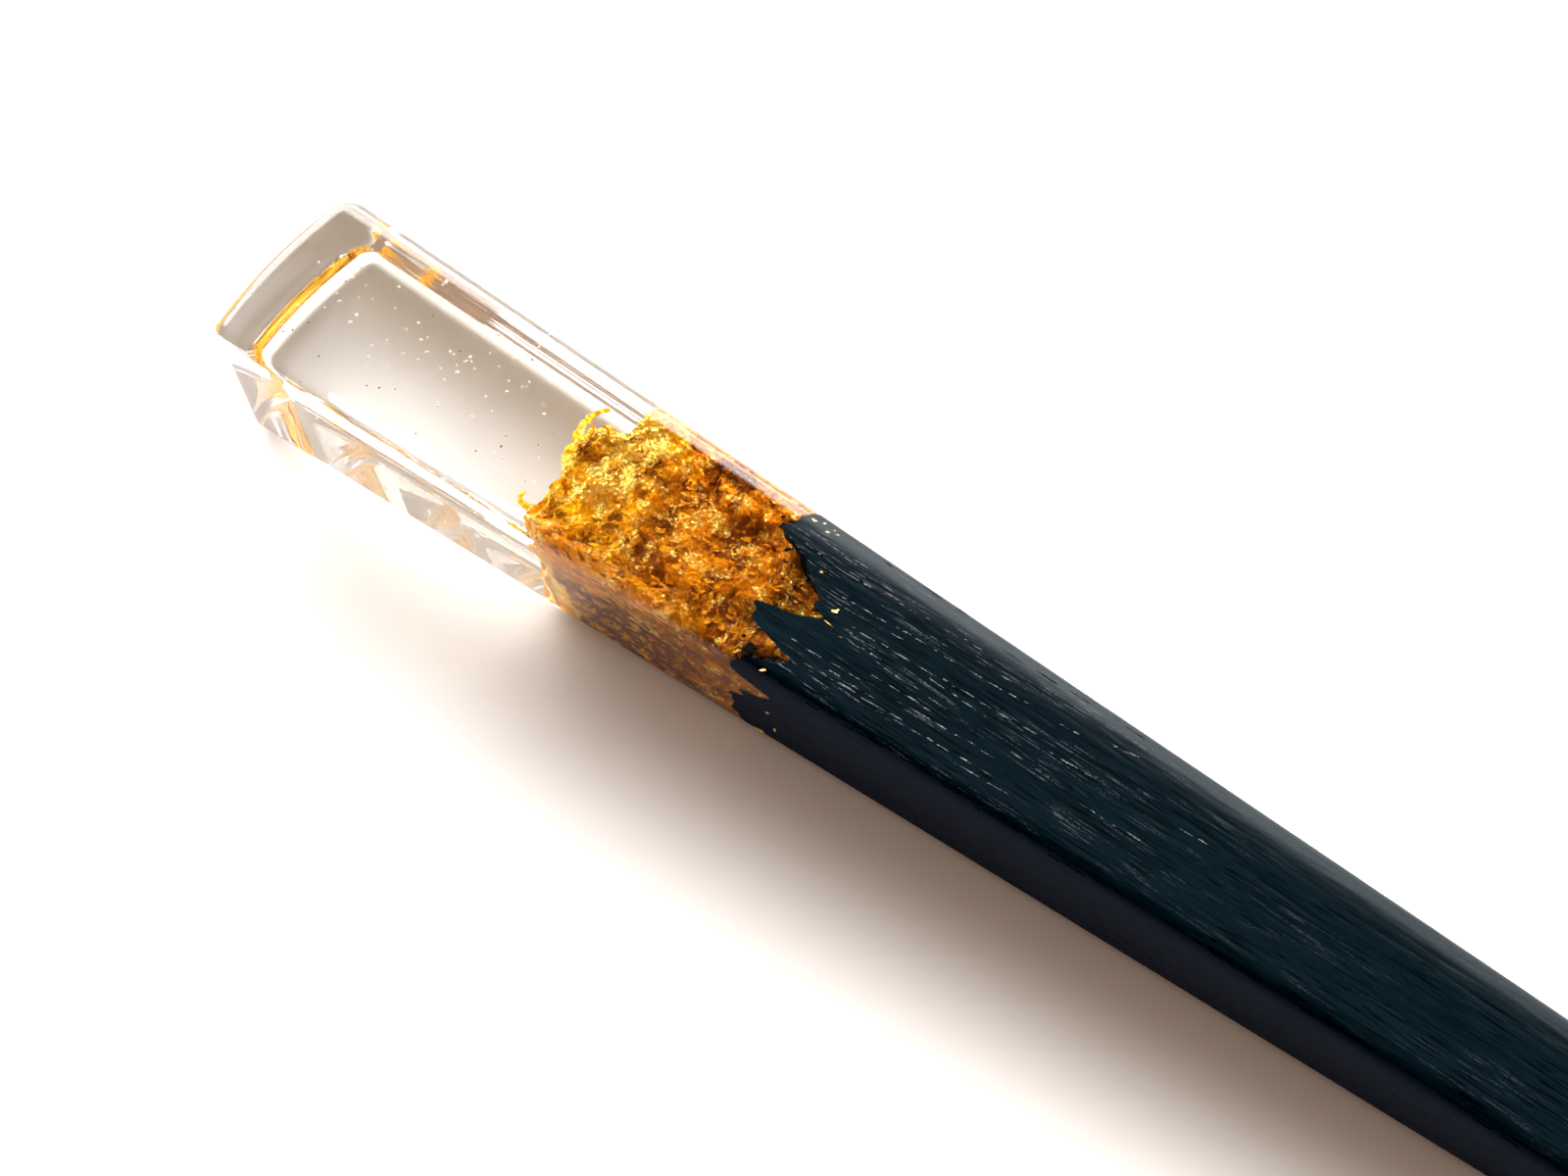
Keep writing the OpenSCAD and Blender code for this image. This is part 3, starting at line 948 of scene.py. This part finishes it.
def black_wood(name, shine, side):
    """Black wood with open pores along its grain, pale painted highlights in some of them, and a painted
    reflection down the near side
    """
    made, tree, shader = material(name, Specular_IOR_Level=shine, Specular_Tint=WOOD_SHEEN)
    place = object_place(tree)
    x, y, _ = xyz(tree, place)
    half_width = x.ramp(HEAD_X, HEAD_X + TIP_U, HEAD_W / 2, TIP_D / 2)
    from_near = y + half_width
    from_far = half_width - y
    on_top = from_near.ramp(*TOP_FROM_NEAR) * from_far.ramp(*TOP_FROM_FAR)
    bands = noise(tree, grainwise(tree, place), BAND_GRAIN, Detail=3.0, Roughness=0.6)
    threads = figure(tree, place, *THREADS)
    clusters = figure(tree, place, *CLUSTERS)
    grit = figure(tree, place, *GRIT)
    # Painted highlights: pale dashes in the pores, only on top and fading towards the tip
    fade = x.ramp(*DASH_FADE) * on_top
    dashes = threads.ramp(*DASH_THREADS) * clusters.ramp(*DASH_CLUSTERS) * grit.ramp(*DASH_GRIT) * fade
    pores = threads.ramp(*PORE_THREADS)
    body = mixed(tree, bands, WOOD_DARK, WOOD_LIGHT)
    # Painted reflection: the near side is coloured lighter and bluer, standing in for the floor it mirrors
    body = mixed(tree, from_near.ramp(*SIDE_REFLECTION_ENDS), body, side)
    body = mixed(tree, pores * on_top.ramp(*PORE_SHADE), body, WOOD_PORE)
    feed(tree, shader.inputs["Base Color"], mixed(tree, dashes, body, PORE_GLINT))
    far_round = from_far.ramp(*FAR_ROUND, smooth=True)
    feed(tree, shader.inputs["Roughness"], bands.ramp(*WOOD_ROUGHNESS) + far_round * FAR_ROUGHER)
    bumped(tree, shader, WOOD_BUMP, WOOD_RELIEF, threads * 0.5 + bands)
    return made


# Noise between which a mottled finish goes from dark to light, and the strength of its relief
MOTTLE_EDGES = (0.35, 0.65)
MOTTLE_BUMP = 0.4


def mottled(name, light, dark, grain, **values):
    """A plain finish that is blotched between two colours"""
    made, tree, shader = material(name, **values)
    blotch = noise(tree, object_place(tree), grain, Detail=2.0)
    feed(tree, shader.inputs["Base Color"], mixed(tree, blotch.ramp(*MOTTLE_EDGES), dark, light))
    bumped(tree, shader, MOTTLE_BUMP, grain / 4, blotch)
    return made


# Film of leaf down the near side: in front and behind, low down and its lumps there, the strands and the
# painted shade between them, the painted glints, and the tufts at its front
FILM_FRONT = (1.0, 0.38, 0.02, 1.0)
FILM_BEHIND = (0.52, 0.10, 0.005, 1.0)
FILM_LOW = (0.16, 0.035, 0.006, 1.0)
FILM_LUMP = (1.0, 0.44, 0.03, 1.0)
FILM_STRAND = (1.0, 0.66, 0.14, 1.0)
FILM_GAP_SHADE = (0.09, 0.02, 0.008, 1.0)
FILM_GLINT = (1.0, 0.72, 0.22, 1.0)
TUFT_DEEP = (1.0, 0.46, 0.02, 1.0)
TUFT_PALE = (1.0, 0.80, 0.32, 1.0)
# Where along the stick the film dulls and the strands and tufts come in, and where up the side its low
# part and its strands come in
FILM_DULLS = (-50 * MM, -39 * MM)
STRANDS_FROM = (-48.5 * MM, -46.5 * MM)
TUFTS_FROM = (-48.6 * MM, -49.3 * MM)
LOW_FROM = (6.2 * MM, 4.8 * MM)
MIDDLE_FROM = (4.2 * MM, 5.2 * MM)
# How ragged those borders are
BORDER_GRAIN = 1.2 * MM
LOW_WANDER = 5 * MM
MIDDLE_WANDER = 3 * MM
TUFT_WANDER = 3 * MM
# Slopes of the strands and of the tufts, and how the strands and the lumps stray: grain and reach
STRAND_SLOPE = 0.15
TUFT_SLOPE = 0.9
STRAND_STRAY = (3 * MM, 1.2 * MM)
LUMP_STRAY = (0.6 * MM, 1.2 * MM)
LUMP_GRAIN = 1.2 * MM
# Figures along the film, as the wood's are given
FILM_SOFT = (5.0, 0.7 * MM, 2.0)
FILM_STRANDS = (20.0, 0.22 * MM, 2.0)
FILM_GLINTS = (3.0, 0.2 * MM, 1.0)
FILM_TUFTS = (4.0, 0.34 * MM, 2.0)
# Noise between which each kind shows, and how much of the film some of them cover
LUMP_EDGES = (0.62, 0.45)
LUMP_FINE = (0.35, 0.5)
STRAND_EDGES = (0.54, 0.60)
GAP_SHADE_EDGES = (0.44, 0.38)
GLINT_EDGES = (0.60, 0.68)
TUFT_EDGES = (0.46, 0.56)
LOW_COVER = 0.92
GAP_SHADE_COVER = 0.75
GLINT_COVER = 0.85


def near_film(tree, place, fine):
    """Colour and relief of the film of leaf down the near side: copper above, strands along its middle,
    brown with golden lumps below, and pale tufts at its front. The weights in its sums were set one by one."""
    x, _, z = xyz(tree, place)
    wander = ragged_at(tree, place, BORDER_GRAIN)
    leaning = combine(tree, "ADD", place, vector(tree, 0.0, 0.0, x * STRAND_SLOPE))
    leaning = combine(tree, "ADD", leaning, jitter(tree, place, *STRAND_STRAY))
    soft = figure(tree, leaning, *FILM_SOFT)
    strands = figure(tree, leaning, *FILM_STRANDS)
    lumps = cells(tree, combine(tree, "ADD", place, jitter(tree, place, *LUMP_STRAY)), LUMP_GRAIN)
    glints = figure(tree, leaning, *FILM_GLINTS)
    shade = (x.ramp(*FILM_DULLS) + soft * 1.6 - 0.75).limit(0.0, 1.0)
    film = mixed(tree, shade, FILM_FRONT, FILM_BEHIND)
    low = (z + wander * LOW_WANDER).ramp(*LOW_FROM)
    film = mixed(tree, low * LOW_COVER, film, FILM_LOW)
    film = mixed(tree, low * lumps.ramp(*LUMP_EDGES) * fine.ramp(*LUMP_FINE), film, FILM_LUMP)
    middle = (z + wander * MIDDLE_WANDER).ramp(*MIDDLE_FROM) * x.ramp(*STRANDS_FROM)
    film = mixed(tree, strands.ramp(*STRAND_EDGES) * middle, film, FILM_STRAND)
    # Painted shade between the strands, then painted glints
    film = mixed(tree, strands.ramp(*GAP_SHADE_EDGES) * GAP_SHADE_COVER, film, FILM_GAP_SHADE)
    film = mixed(tree, glints.ramp(*GLINT_EDGES) * GLINT_COVER, film, FILM_GLINT)
    drooping = combine(tree, "ADD", place, vector(tree, 0.0, 0.0, x * TUFT_SLOPE))
    tufts = figure(tree, drooping, *FILM_TUFTS)
    tuft = mixed(tree, tufts.ramp(*TUFT_EDGES), TUFT_DEEP, TUFT_PALE)
    forward = (x + wander * TUFT_WANDER + z * 0.3).ramp(*TUFTS_FROM)
    relief = soft * 2.5 + strands * 1.5 + glints - lumps * low * 2.0
    return mixed(tree, forward, film, tuft), relief


# Leaf on top and at the front: amber in front and behind, brown with painted shade in its hollows, and
# painted lemon glints. Rose leaf on the far side, painted lighter where the window falls: in front and
# behind, and its rust blotches.
LEAF_SHINE = 0.15
AMBER_FRONT = (1.0, 0.52, 0.002, 1.0)
AMBER_BEHIND = (0.9, 0.34, 0.002, 1.0)
LEAF_BROWN_AND_SHADE = (0.24, 0.06, 0.002, 1.0)
LEAF_LEMON = (1.0, 0.82, 0.20, 1.0)
LIT_ROSE_FRONT = (1.0, 0.72, 0.22, 1.0)
LIT_ROSE_BEHIND = (1.0, 0.42, 0.13, 1.0)
LEAF_RUST = (0.62, 0.17, 0.01, 1.0)
# Blotches of the leaf, from the widest to the finest
BLOTCH_GRAIN = 1.6 * MM
GLITTER_GRAIN = 1.1 * MM
GLITTER_EDGES = (0.47, 0.6)
FINE_GRAIN = 0.22 * MM
# Where the leaf darkens, along the stick and towards the near side
BEHIND = (-51 * MM, -44 * MM)
NEARER = (-1 * MM, -5 * MM)
# Bright band behind the front: how far it lies from the stick's middle, its reach, and where it ends
BAND_PLACE = 49.9 * MM
BAND_REACH = (1.6 * MM, 0.5 * MM)
BAND_ACROSS = (-2.5 * MM, -0.5 * MM)
# Border of the near film, how ragged it is, how softly it starts and where it ends along the stick
VEIL_EDGE = (-53 * MM, -40 * MM, -3.6 * MM, -4.5 * MM)
VEIL_RAG_GRAIN = 0.9 * MM
VEIL_RAG = 1.6 * MM
VEIL_BLEND = 0.4 * MM
VEIL_ENDS = (-38.6 * MM, -37.8 * MM, 1.0, 0.0)
# Where the rose leaf, painted lighter where the window falls, comes in across, fades along and gives way
# downwards
FAR_VEIL = (4.3 * MM, 4.8 * MM)
LIT_ROSE_FADES = (-50 * MM, -45 * MM)
LIT_ROSE_WANDER = 4 * MM
LIT_ROSE_ENDS = (8.0 * MM, 7.0 * MM)
RUST_EDGES = (0.44, 0.54)
RUST_COVER = 0.85
COPPER_COVER = 0.9
# Roughness over the fine blotches, metal over the glints and over the films, and the relief
LEAF_ROUGHNESS = (0.3, 0.7, 0.14, 0.36)
LEAF_METAL = (0.0, 1.0, 0.25, 0.8)
FILM_METAL = (0.0, 1.0, 1.0, 0.4)
SMALL_FACET = 0.16 * MM
MIDDLE_FACET = 0.3 * MM
LARGE_FACET = 0.6 * MM
LEAF_BUMP = 0.6
LEAF_RELIEF = 0.12 * MM


def leaf():
    """Crumpled gold leaf: amber, brown with painted shade in its hollows, and painted lemon glints, a copper
    film down the near side, and rose leaf on the far side painted lighter where the window falls. The weights
    in its sums were set one by one."""
    made, tree, shader = material("crumpled_gold_leaf", Specular_IOR_Level=LEAF_SHINE)
    place = object_place(tree)
    x, y, z = xyz(tree, place)
    hollow = stored(tree, "hollow")
    tone = stored(tree, "tone")
    cast = stored(tree, "cast")
    blotch = noise(tree, place, BLOTCH_GRAIN, Detail=2.0)
    fine = noise(tree, place, FINE_GRAIN, Detail=2.0)
    glitter = noise(tree, place, GLITTER_GRAIN, Detail=2.0).ramp(*GLITTER_EDGES)
    behind = x.ramp(*BEHIND, smooth=True)
    nearer = y.ramp(*NEARER, smooth=True)
    # Painted shade: brown in the hollows, mixed with the leaf's own brown blotches and tones, more behind and
    # towards the near side
    brown = (behind * 0.35 + nearer * 0.15 + hollow * 0.9 - tone * 0.7 + blotch * 1.4 - 0.65).ramp(0.0, 0.8)
    amber = mixed(tree, behind, AMBER_FRONT, AMBER_BEHIND)
    amber = mixed(tree, brown, amber, LEAF_BROWN_AND_SHADE)
    band = (x + BAND_PLACE).math("ABSOLUTE").ramp(*BAND_REACH) * y.ramp(*BAND_ACROSS)
    bright = fine * 1.8 + glitter * 0.5 + band * 0.45 + tone * 0.4 - blotch * 0.6
    bright = bright - behind * 0.2 - nearer * 0.1
    # Painted glints: lemon where the fine noise, the glitter and the band add up to bright
    lemon = (bright - 1.02).ramp(0.0, 0.25)
    foil = mixed(tree, lemon, amber, LEAF_LEMON)
    copper, relief = near_film(tree, place, fine)
    veil_edge = x.ramp(*VEIL_EDGE) + ragged_at(tree, place, VEIL_RAG_GRAIN) * VEIL_RAG
    near_veil = (veil_edge - y).ramp(0.0, VEIL_BLEND, smooth=True) * x.ramp(*VEIL_ENDS) * cast
    far_veil = y.ramp(*FAR_VEIL, smooth=True) * cast
    # Painted light: the far side's leaf is lit rose up high and gives way to the copper film lower down
    rose = mixed(tree, (x + fine * LIT_ROSE_WANDER).ramp(*LIT_ROSE_FADES), LIT_ROSE_FRONT, LIT_ROSE_BEHIND)
    rose = mixed(tree, (fine * 0.5 + blotch * 0.5).ramp(*RUST_EDGES) * RUST_COVER, rose, LEAF_RUST)
    rose = mixed(tree, z.ramp(*LIT_ROSE_ENDS, smooth=True) * COPPER_COVER, rose, copper)
    foil = mixed(tree, far_veil, foil, rose)
    feed(tree, shader.inputs["Base Color"], mixed(tree, near_veil, foil, copper))
    feed(tree, shader.inputs["Roughness"], fine.ramp(*LEAF_ROUGHNESS))
    veil = near_veil.math("MAXIMUM", far_veil)
    feed(tree, shader.inputs["Metallic"], lemon.ramp(*LEAF_METAL) * veil.ramp(*FILM_METAL))
    facets = cells(tree, place, SMALL_FACET) * (glitter * 0.5 + 0.2) + cells(tree, place, MIDDLE_FACET) * 0.7
    facets = facets + cells(tree, place, LARGE_FACET, "CHEBYCHEV") * 1.4
    height = facets + (relief - facets * 0.6) * veil
    bumped(tree, shader, LEAF_BUMP, LEAF_RELIEF, height)
    return made


# Floor: how far it reaches each way, how far under the stick it lies, and its grey
FLOOR_REACH = 1.2
FLOOR_Z = -0.05 * MM
FLOOR_GREY = (0.75, 0.75, 0.75, 1.0)


def floor():
    """A plain pale floor under the stick"""
    corners = [(x * FLOOR_REACH, y * FLOOR_REACH, FLOOR_Z) for x, y in ((-1, -1), (1, -1), (1, 1), (-1, 1))]
    mesh = bpy.data.meshes.new("floor")
    mesh.from_pydata(corners, [], [(0, 1, 2, 3)])
    made, _, _ = material("pale_floor", Base_Color=FLOOR_GREY, Roughness=0.7)
    mesh.materials.append(made)
    piece = bpy.data.objects.new("floor", mesh)
    bpy.context.scene.collection.objects.link(piece)


def soft_light(name, place, aim, size, power, colour):
    """A rectangle of even light at a place, turned to its aim"""
    data = bpy.data.lights.new(name, "AREA")
    data.shape = "RECTANGLE"
    data.size, data.size_y = size
    data.energy = power
    data.color = colour
    lamp = bpy.data.objects.new(name, data)
    lamp.location = place
    lamp.rotation_euler = (Vector(aim) - Vector(place)).to_track_quat("-Z", "Y").to_euler()
    bpy.context.scene.collection.objects.link(lamp)


# Angle of the window about Z from X, its distance from the stick, its light and where it is aimed
WINDOW_TURN = 128
WINDOW_FAR = 0.7
WINDOW_LIGHT = (1.0, 0.995, 0.98)
LIGHT_AIM = (-30 * MM, 0, 0)
# Height above the floor as an angle, width and height, and power of the window and of the wide
# pale wall round it, and how much farther off the wall is
WINDOW_HEIGHT = 38
WINDOW_SIZE = (1.0, 0.26)
WINDOW_POWER = 8.0
WALL_HEIGHT = 22
WALL_SIZE = (1.1, 0.55)
WALL_POWER = 24
WALL_FARTHER = 1.03
# Glow of the room round the window: where it starts and is full, its colour, and the rest of the room
GLOW_EDGE = 0.45
GLOW_FULL = 0.97
GLOW_COLOUR = (0.72, 0.63, 0.53, 1.0)
ROOM_COLOUR = (0.46, 0.325, 0.25, 1.0)


def towards(turn, height):
    """Direction at an angle about Z from X and an angle above the floor"""
    level = cos(radians(height))
    return Vector((cos(radians(turn)) * level, sin(radians(turn)) * level, sin(radians(height))))


def lights():
    """The window, the pale wall round it and the room's own soft light"""
    window = towards(WINDOW_TURN, WINDOW_HEIGHT)
    aim = Vector(LIGHT_AIM)
    wall = towards(WINDOW_TURN, WALL_HEIGHT)
    wall_place = aim + wall * WINDOW_FAR * WALL_FARTHER
    soft_light("window", aim + window * WINDOW_FAR, aim, WINDOW_SIZE, WINDOW_POWER, WINDOW_LIGHT)
    soft_light("pale_wall", wall_place, aim, WALL_SIZE, WALL_POWER, WINDOW_LIGHT)
    world = bpy.data.worlds.new("room")
    world.use_nodes = True
    tree = world.node_tree
    way = add(tree, "ShaderNodeTexCoord", "Generated")
    facing = add(
        tree, "ShaderNodeVectorMath", "Value", {"operation": "DOT_PRODUCT"}, i0=way, i1=tuple(window),
    )
    glow = facing.ramp(GLOW_EDGE, GLOW_FULL, smooth=True)
    feed(tree, tree.nodes["Background"].inputs["Color"], mixed(tree, glow, ROOM_COLOUR, GLOW_COLOUR))
    bpy.context.scene.world = world


CAMERA_PLACE = (8.2 * MM, -45.5 * MM, 119.6 * MM)
CAMERA_AIM = (-41.57 * MM, 3.22 * MM, 0.0)
CAMERA_ROLL = -9.4
VIEW_ANGLE = 35.0
SENSOR_WIDTH = 36.0
# Nearest distance that the camera sees
NEAREST = 0.005


def camera():
    """The photo's own camera"""
    data = bpy.data.cameras.new("camera")
    data.sensor_width = SENSOR_WIDTH
    data.lens = data.sensor_width / 2 / tan(radians(VIEW_ANGLE) / 2)
    data.clip_start = NEAREST
    eye = bpy.data.objects.new("camera", data)
    look = (Vector(CAMERA_AIM) - Vector(CAMERA_PLACE)).to_track_quat("-Z", "Y").to_matrix().to_4x4()
    eye.matrix_world = Matrix.Translation(CAMERA_PLACE) @ look @ Matrix.Rotation(radians(CAMERA_ROLL), 4, "Z")
    bpy.context.scene.collection.objects.link(eye)
    bpy.context.scene.camera = eye


def dress(piece, slot, *nodes):
    """Rides a piece on the stick and hides the solids that it stands for"""
    if nodes:
        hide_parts(*nodes)
    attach(piece, "root")


# Turns that light may take inside the clear head, and the brightest that a bounced ray may be
LIGHT_BOUNCES = 24
BRIGHTEST_BOUNCE = 40.0
# What the picture shows as black, as a camera's tone curve does
BLACK_LEVEL = (0.005, 0.005, 0.005)

# Points round the stick of the large pieces, and of the form that the scraps are strewn on
ROWS_AROUND = 321
STREWN_AROUND = 161
# Shine and near side colour of the wood on top and of the wood down the near side; that colour is a painted
# reflection
OILED_SHINE = 0.09
OILED_SIDE_REFLECTION = (0.003, 0.008, 0.017, 1.0)
MATT_SHINE = 0.002
MATT_SIDE_REFLECTION = (0.020, 0.027, 0.040, 1.0)
# Light and dark colour of each mottled finish
PALE_LEAF = ((0.85, 0.68, 0.34, 1.0), (0.36, 0.24, 0.09, 1.0))
LOOSE_GOLD = ((1.0, 0.70, 0.18, 1.0), (0.5, 0.26, 0.04, 1.0))
CHARRED = ((0.008, 0.010, 0.012, 1.0), (0.001, 0.001, 0.002, 1.0))
PORE_GLINT_COLOURS = ((0.27, 0.30, 0.34, 1.0), (0.06, 0.07, 0.09, 1.0))
PALE_DUST = ((1.0, 0.99, 0.96, 1.0), (0.9, 0.86, 0.8, 1.0))
DARK_SPECKS = ((0.20, 0.13, 0.08, 1.0), (0.05, 0.03, 0.02, 1.0))
# Seeds of the flecks and of the filling of the pores
GOLD_FLECK_SEED = 5
PALE_FLECK_SEED = 6
WOOD_FLECK_SEED = 7
BEAD_SEED = 9


def main():
    """Builds the pieces with their finishes, then the floor, the light and the camera"""
    resin = clear_resin()
    wood = black_wood("oiled_black_wood", OILED_SHINE, OILED_SIDE_REFLECTION)
    side_wood = black_wood("matt_black_wood", MATT_SHINE, MATT_SIDE_REFLECTION)
    gold = leaf()
    head = grown("clear_head", resin_tree(), {
        **BAR_VALUES, "Rows along": 140, "Rows around": ROWS_AROUND, "End rounding": END_R,
        "Under end rounding": UNDER_END_R, "Under end rise": UNDER_END_RISE, "Dome radius": DOME_R,
        "Root": RESIN_ROOT, "Material": resin,
    })
    shaft = grown("shaft", shaft_tree(), {
        **BAR_VALUES, "Rows along": 300, "Rows around": ROWS_AROUND, "Pore depth": PORE_DEPTH,
        "Material": wood, "Near side material": side_wood,
    })
    leafed = grown("gold", gold_skin_tree(), {
        **GOLD_VALUES, "Rows along": 300, "Rows around": ROWS_AROUND, "Material": gold,
    })
    strewn = {**GOLD_VALUES, "Rows along": 150, "Rows around": STREWN_AROUND, "Material": gold}
    scraps = grown("gold_scraps", scraps_tree(), {
        **strewn, "Count per square metre": 5.4e6, "Sparse": 0.12, "Scrap radius": 0.3 * MM,
        "Scrap thickness": 0.03 * MM, "Sides": 8, "Rings": 5, "Tilt": 0.75, "Crumple": 0.3 * MM,
        "Crumple reach": 0.36 * MM,
    })
    petals = grown("gold_petals", scraps_tree(), {
        **strewn, "Seed": 21, "Count per square metre": 0.16e6, "Sparse": 0.7, "Scrap radius": 0.8 * MM,
        "Scrap thickness": 0.03 * MM, "Sides": 28, "Rings": 14, "Tilt": 0.4, "Crumple": 0.4 * MM,
        "Crumple reach": 0.6 * MM,
    })
    dress(head, "resin", "resin_head")
    dress(shaft, "wood", "wood_shaft")
    dress(leafed, "gold", "gold_leaf")
    strip = curl_tree()
    strip_values = {
        "Width": 0.75 * MM, "Thickness": 0.22 * MM, "Crumple": 0.5 * MM, "Crumple reach": 0.35 * MM,
        "Material": gold,
    }
    far_curl = curl("gold_far_curl", strip, FAR_CURL, Turn=0.1, **strip_values)
    near_curl = curl("gold_near_curl", strip, NEAR_CURL, Turn=0.2, **strip_values)
    pale = mottled("pale_leaf", *PALE_LEAF, 0.12 * MM, Metallic=0.3, Roughness=0.35)
    loose = mottled("loose_gold", *LOOSE_GOLD, 0.15 * MM, Metallic=0.5, Roughness=0.3)
    gold_flecks = flecks("gold_flecks", GOLD_FLECKS, FLECK_SINK, loose, GOLD_FLECK_SEED)
    pale_flecks = flecks("pale_flecks", PALE_FLECKS, FLECK_SINK, pale, PALE_FLECK_SEED)
    for piece in (scraps, petals, far_curl, near_curl, gold_flecks, pale_flecks):
        dress(piece, "gold")
    char = mottled("charred_wood", *CHARRED, 0.2 * MM, Specular_IOR_Level=0.03, Roughness=0.6)
    # Painted highlights: pale beads laid along pores near the head
    pore_glint = mottled("painted_pore_glint", *PORE_GLINT_COLOURS, 0.12 * MM, Specular_IOR_Level=0.1, Roughness=0.6)
    for name, rows, sink, finish in (
        ("wood_crumbs", WOOD_CRUMBS, CRUMB_SINK, char), ("cracks", CRACKS, CRACK_SINK, char),
        ("pore_glint_beads", beads(GLINTING_PORES, BEAD_SEED), PORE_SINK, pore_glint),
    ):
        dress(flecks(name, rows, sink, finish, WOOD_FLECK_SEED), "wood")
    specks = dust_tree()
    dust = grown("dust", specks, {
        "Count": 70, "Speck radius": 0.11 * MM, "Seed": 3, "Lowest": (HEAD_X + 2.5 * MM, -2 * MM, 3 * MM),
        "Highest": (HEAD_X + 22 * MM, 4.8 * MM, 9.4 * MM),
        "Material": mottled("pale_dust", *PALE_DUST, 0.2 * MM, Roughness=0.6),
    })
    grime = grown("dark_specks", specks, {
        "Count": 26, "Speck radius": 0.07 * MM, "Seed": 11, "Lowest": (HEAD_X + 2.5 * MM, -4.6 * MM, 3 * MM),
        "Highest": (HEAD_X + 23 * MM, 4.8 * MM, 9.4 * MM),
        "Material": mottled("dark_specks", *DARK_SPECKS, 0.2 * MM, Roughness=0.5),
    })
    dress(dust, "resin")
    dress(grime, "resin")
    floor()
    lights()
    camera()
    scene = bpy.context.scene
    view = scene.view_settings
    view.view_transform = "Standard"
    view.use_curve_mapping = True
    view.curve_mapping.black_level = BLACK_LEVEL
    view.curve_mapping.update()
    scene.cycles.sample_clamp_indirect = BRIGHTEST_BOUNCE
    scene.cycles.max_bounces = LIGHT_BOUNCES
    scene.cycles.glossy_bounces = LIGHT_BOUNCES
    scene.cycles.transmission_bounces = LIGHT_BOUNCES


main()
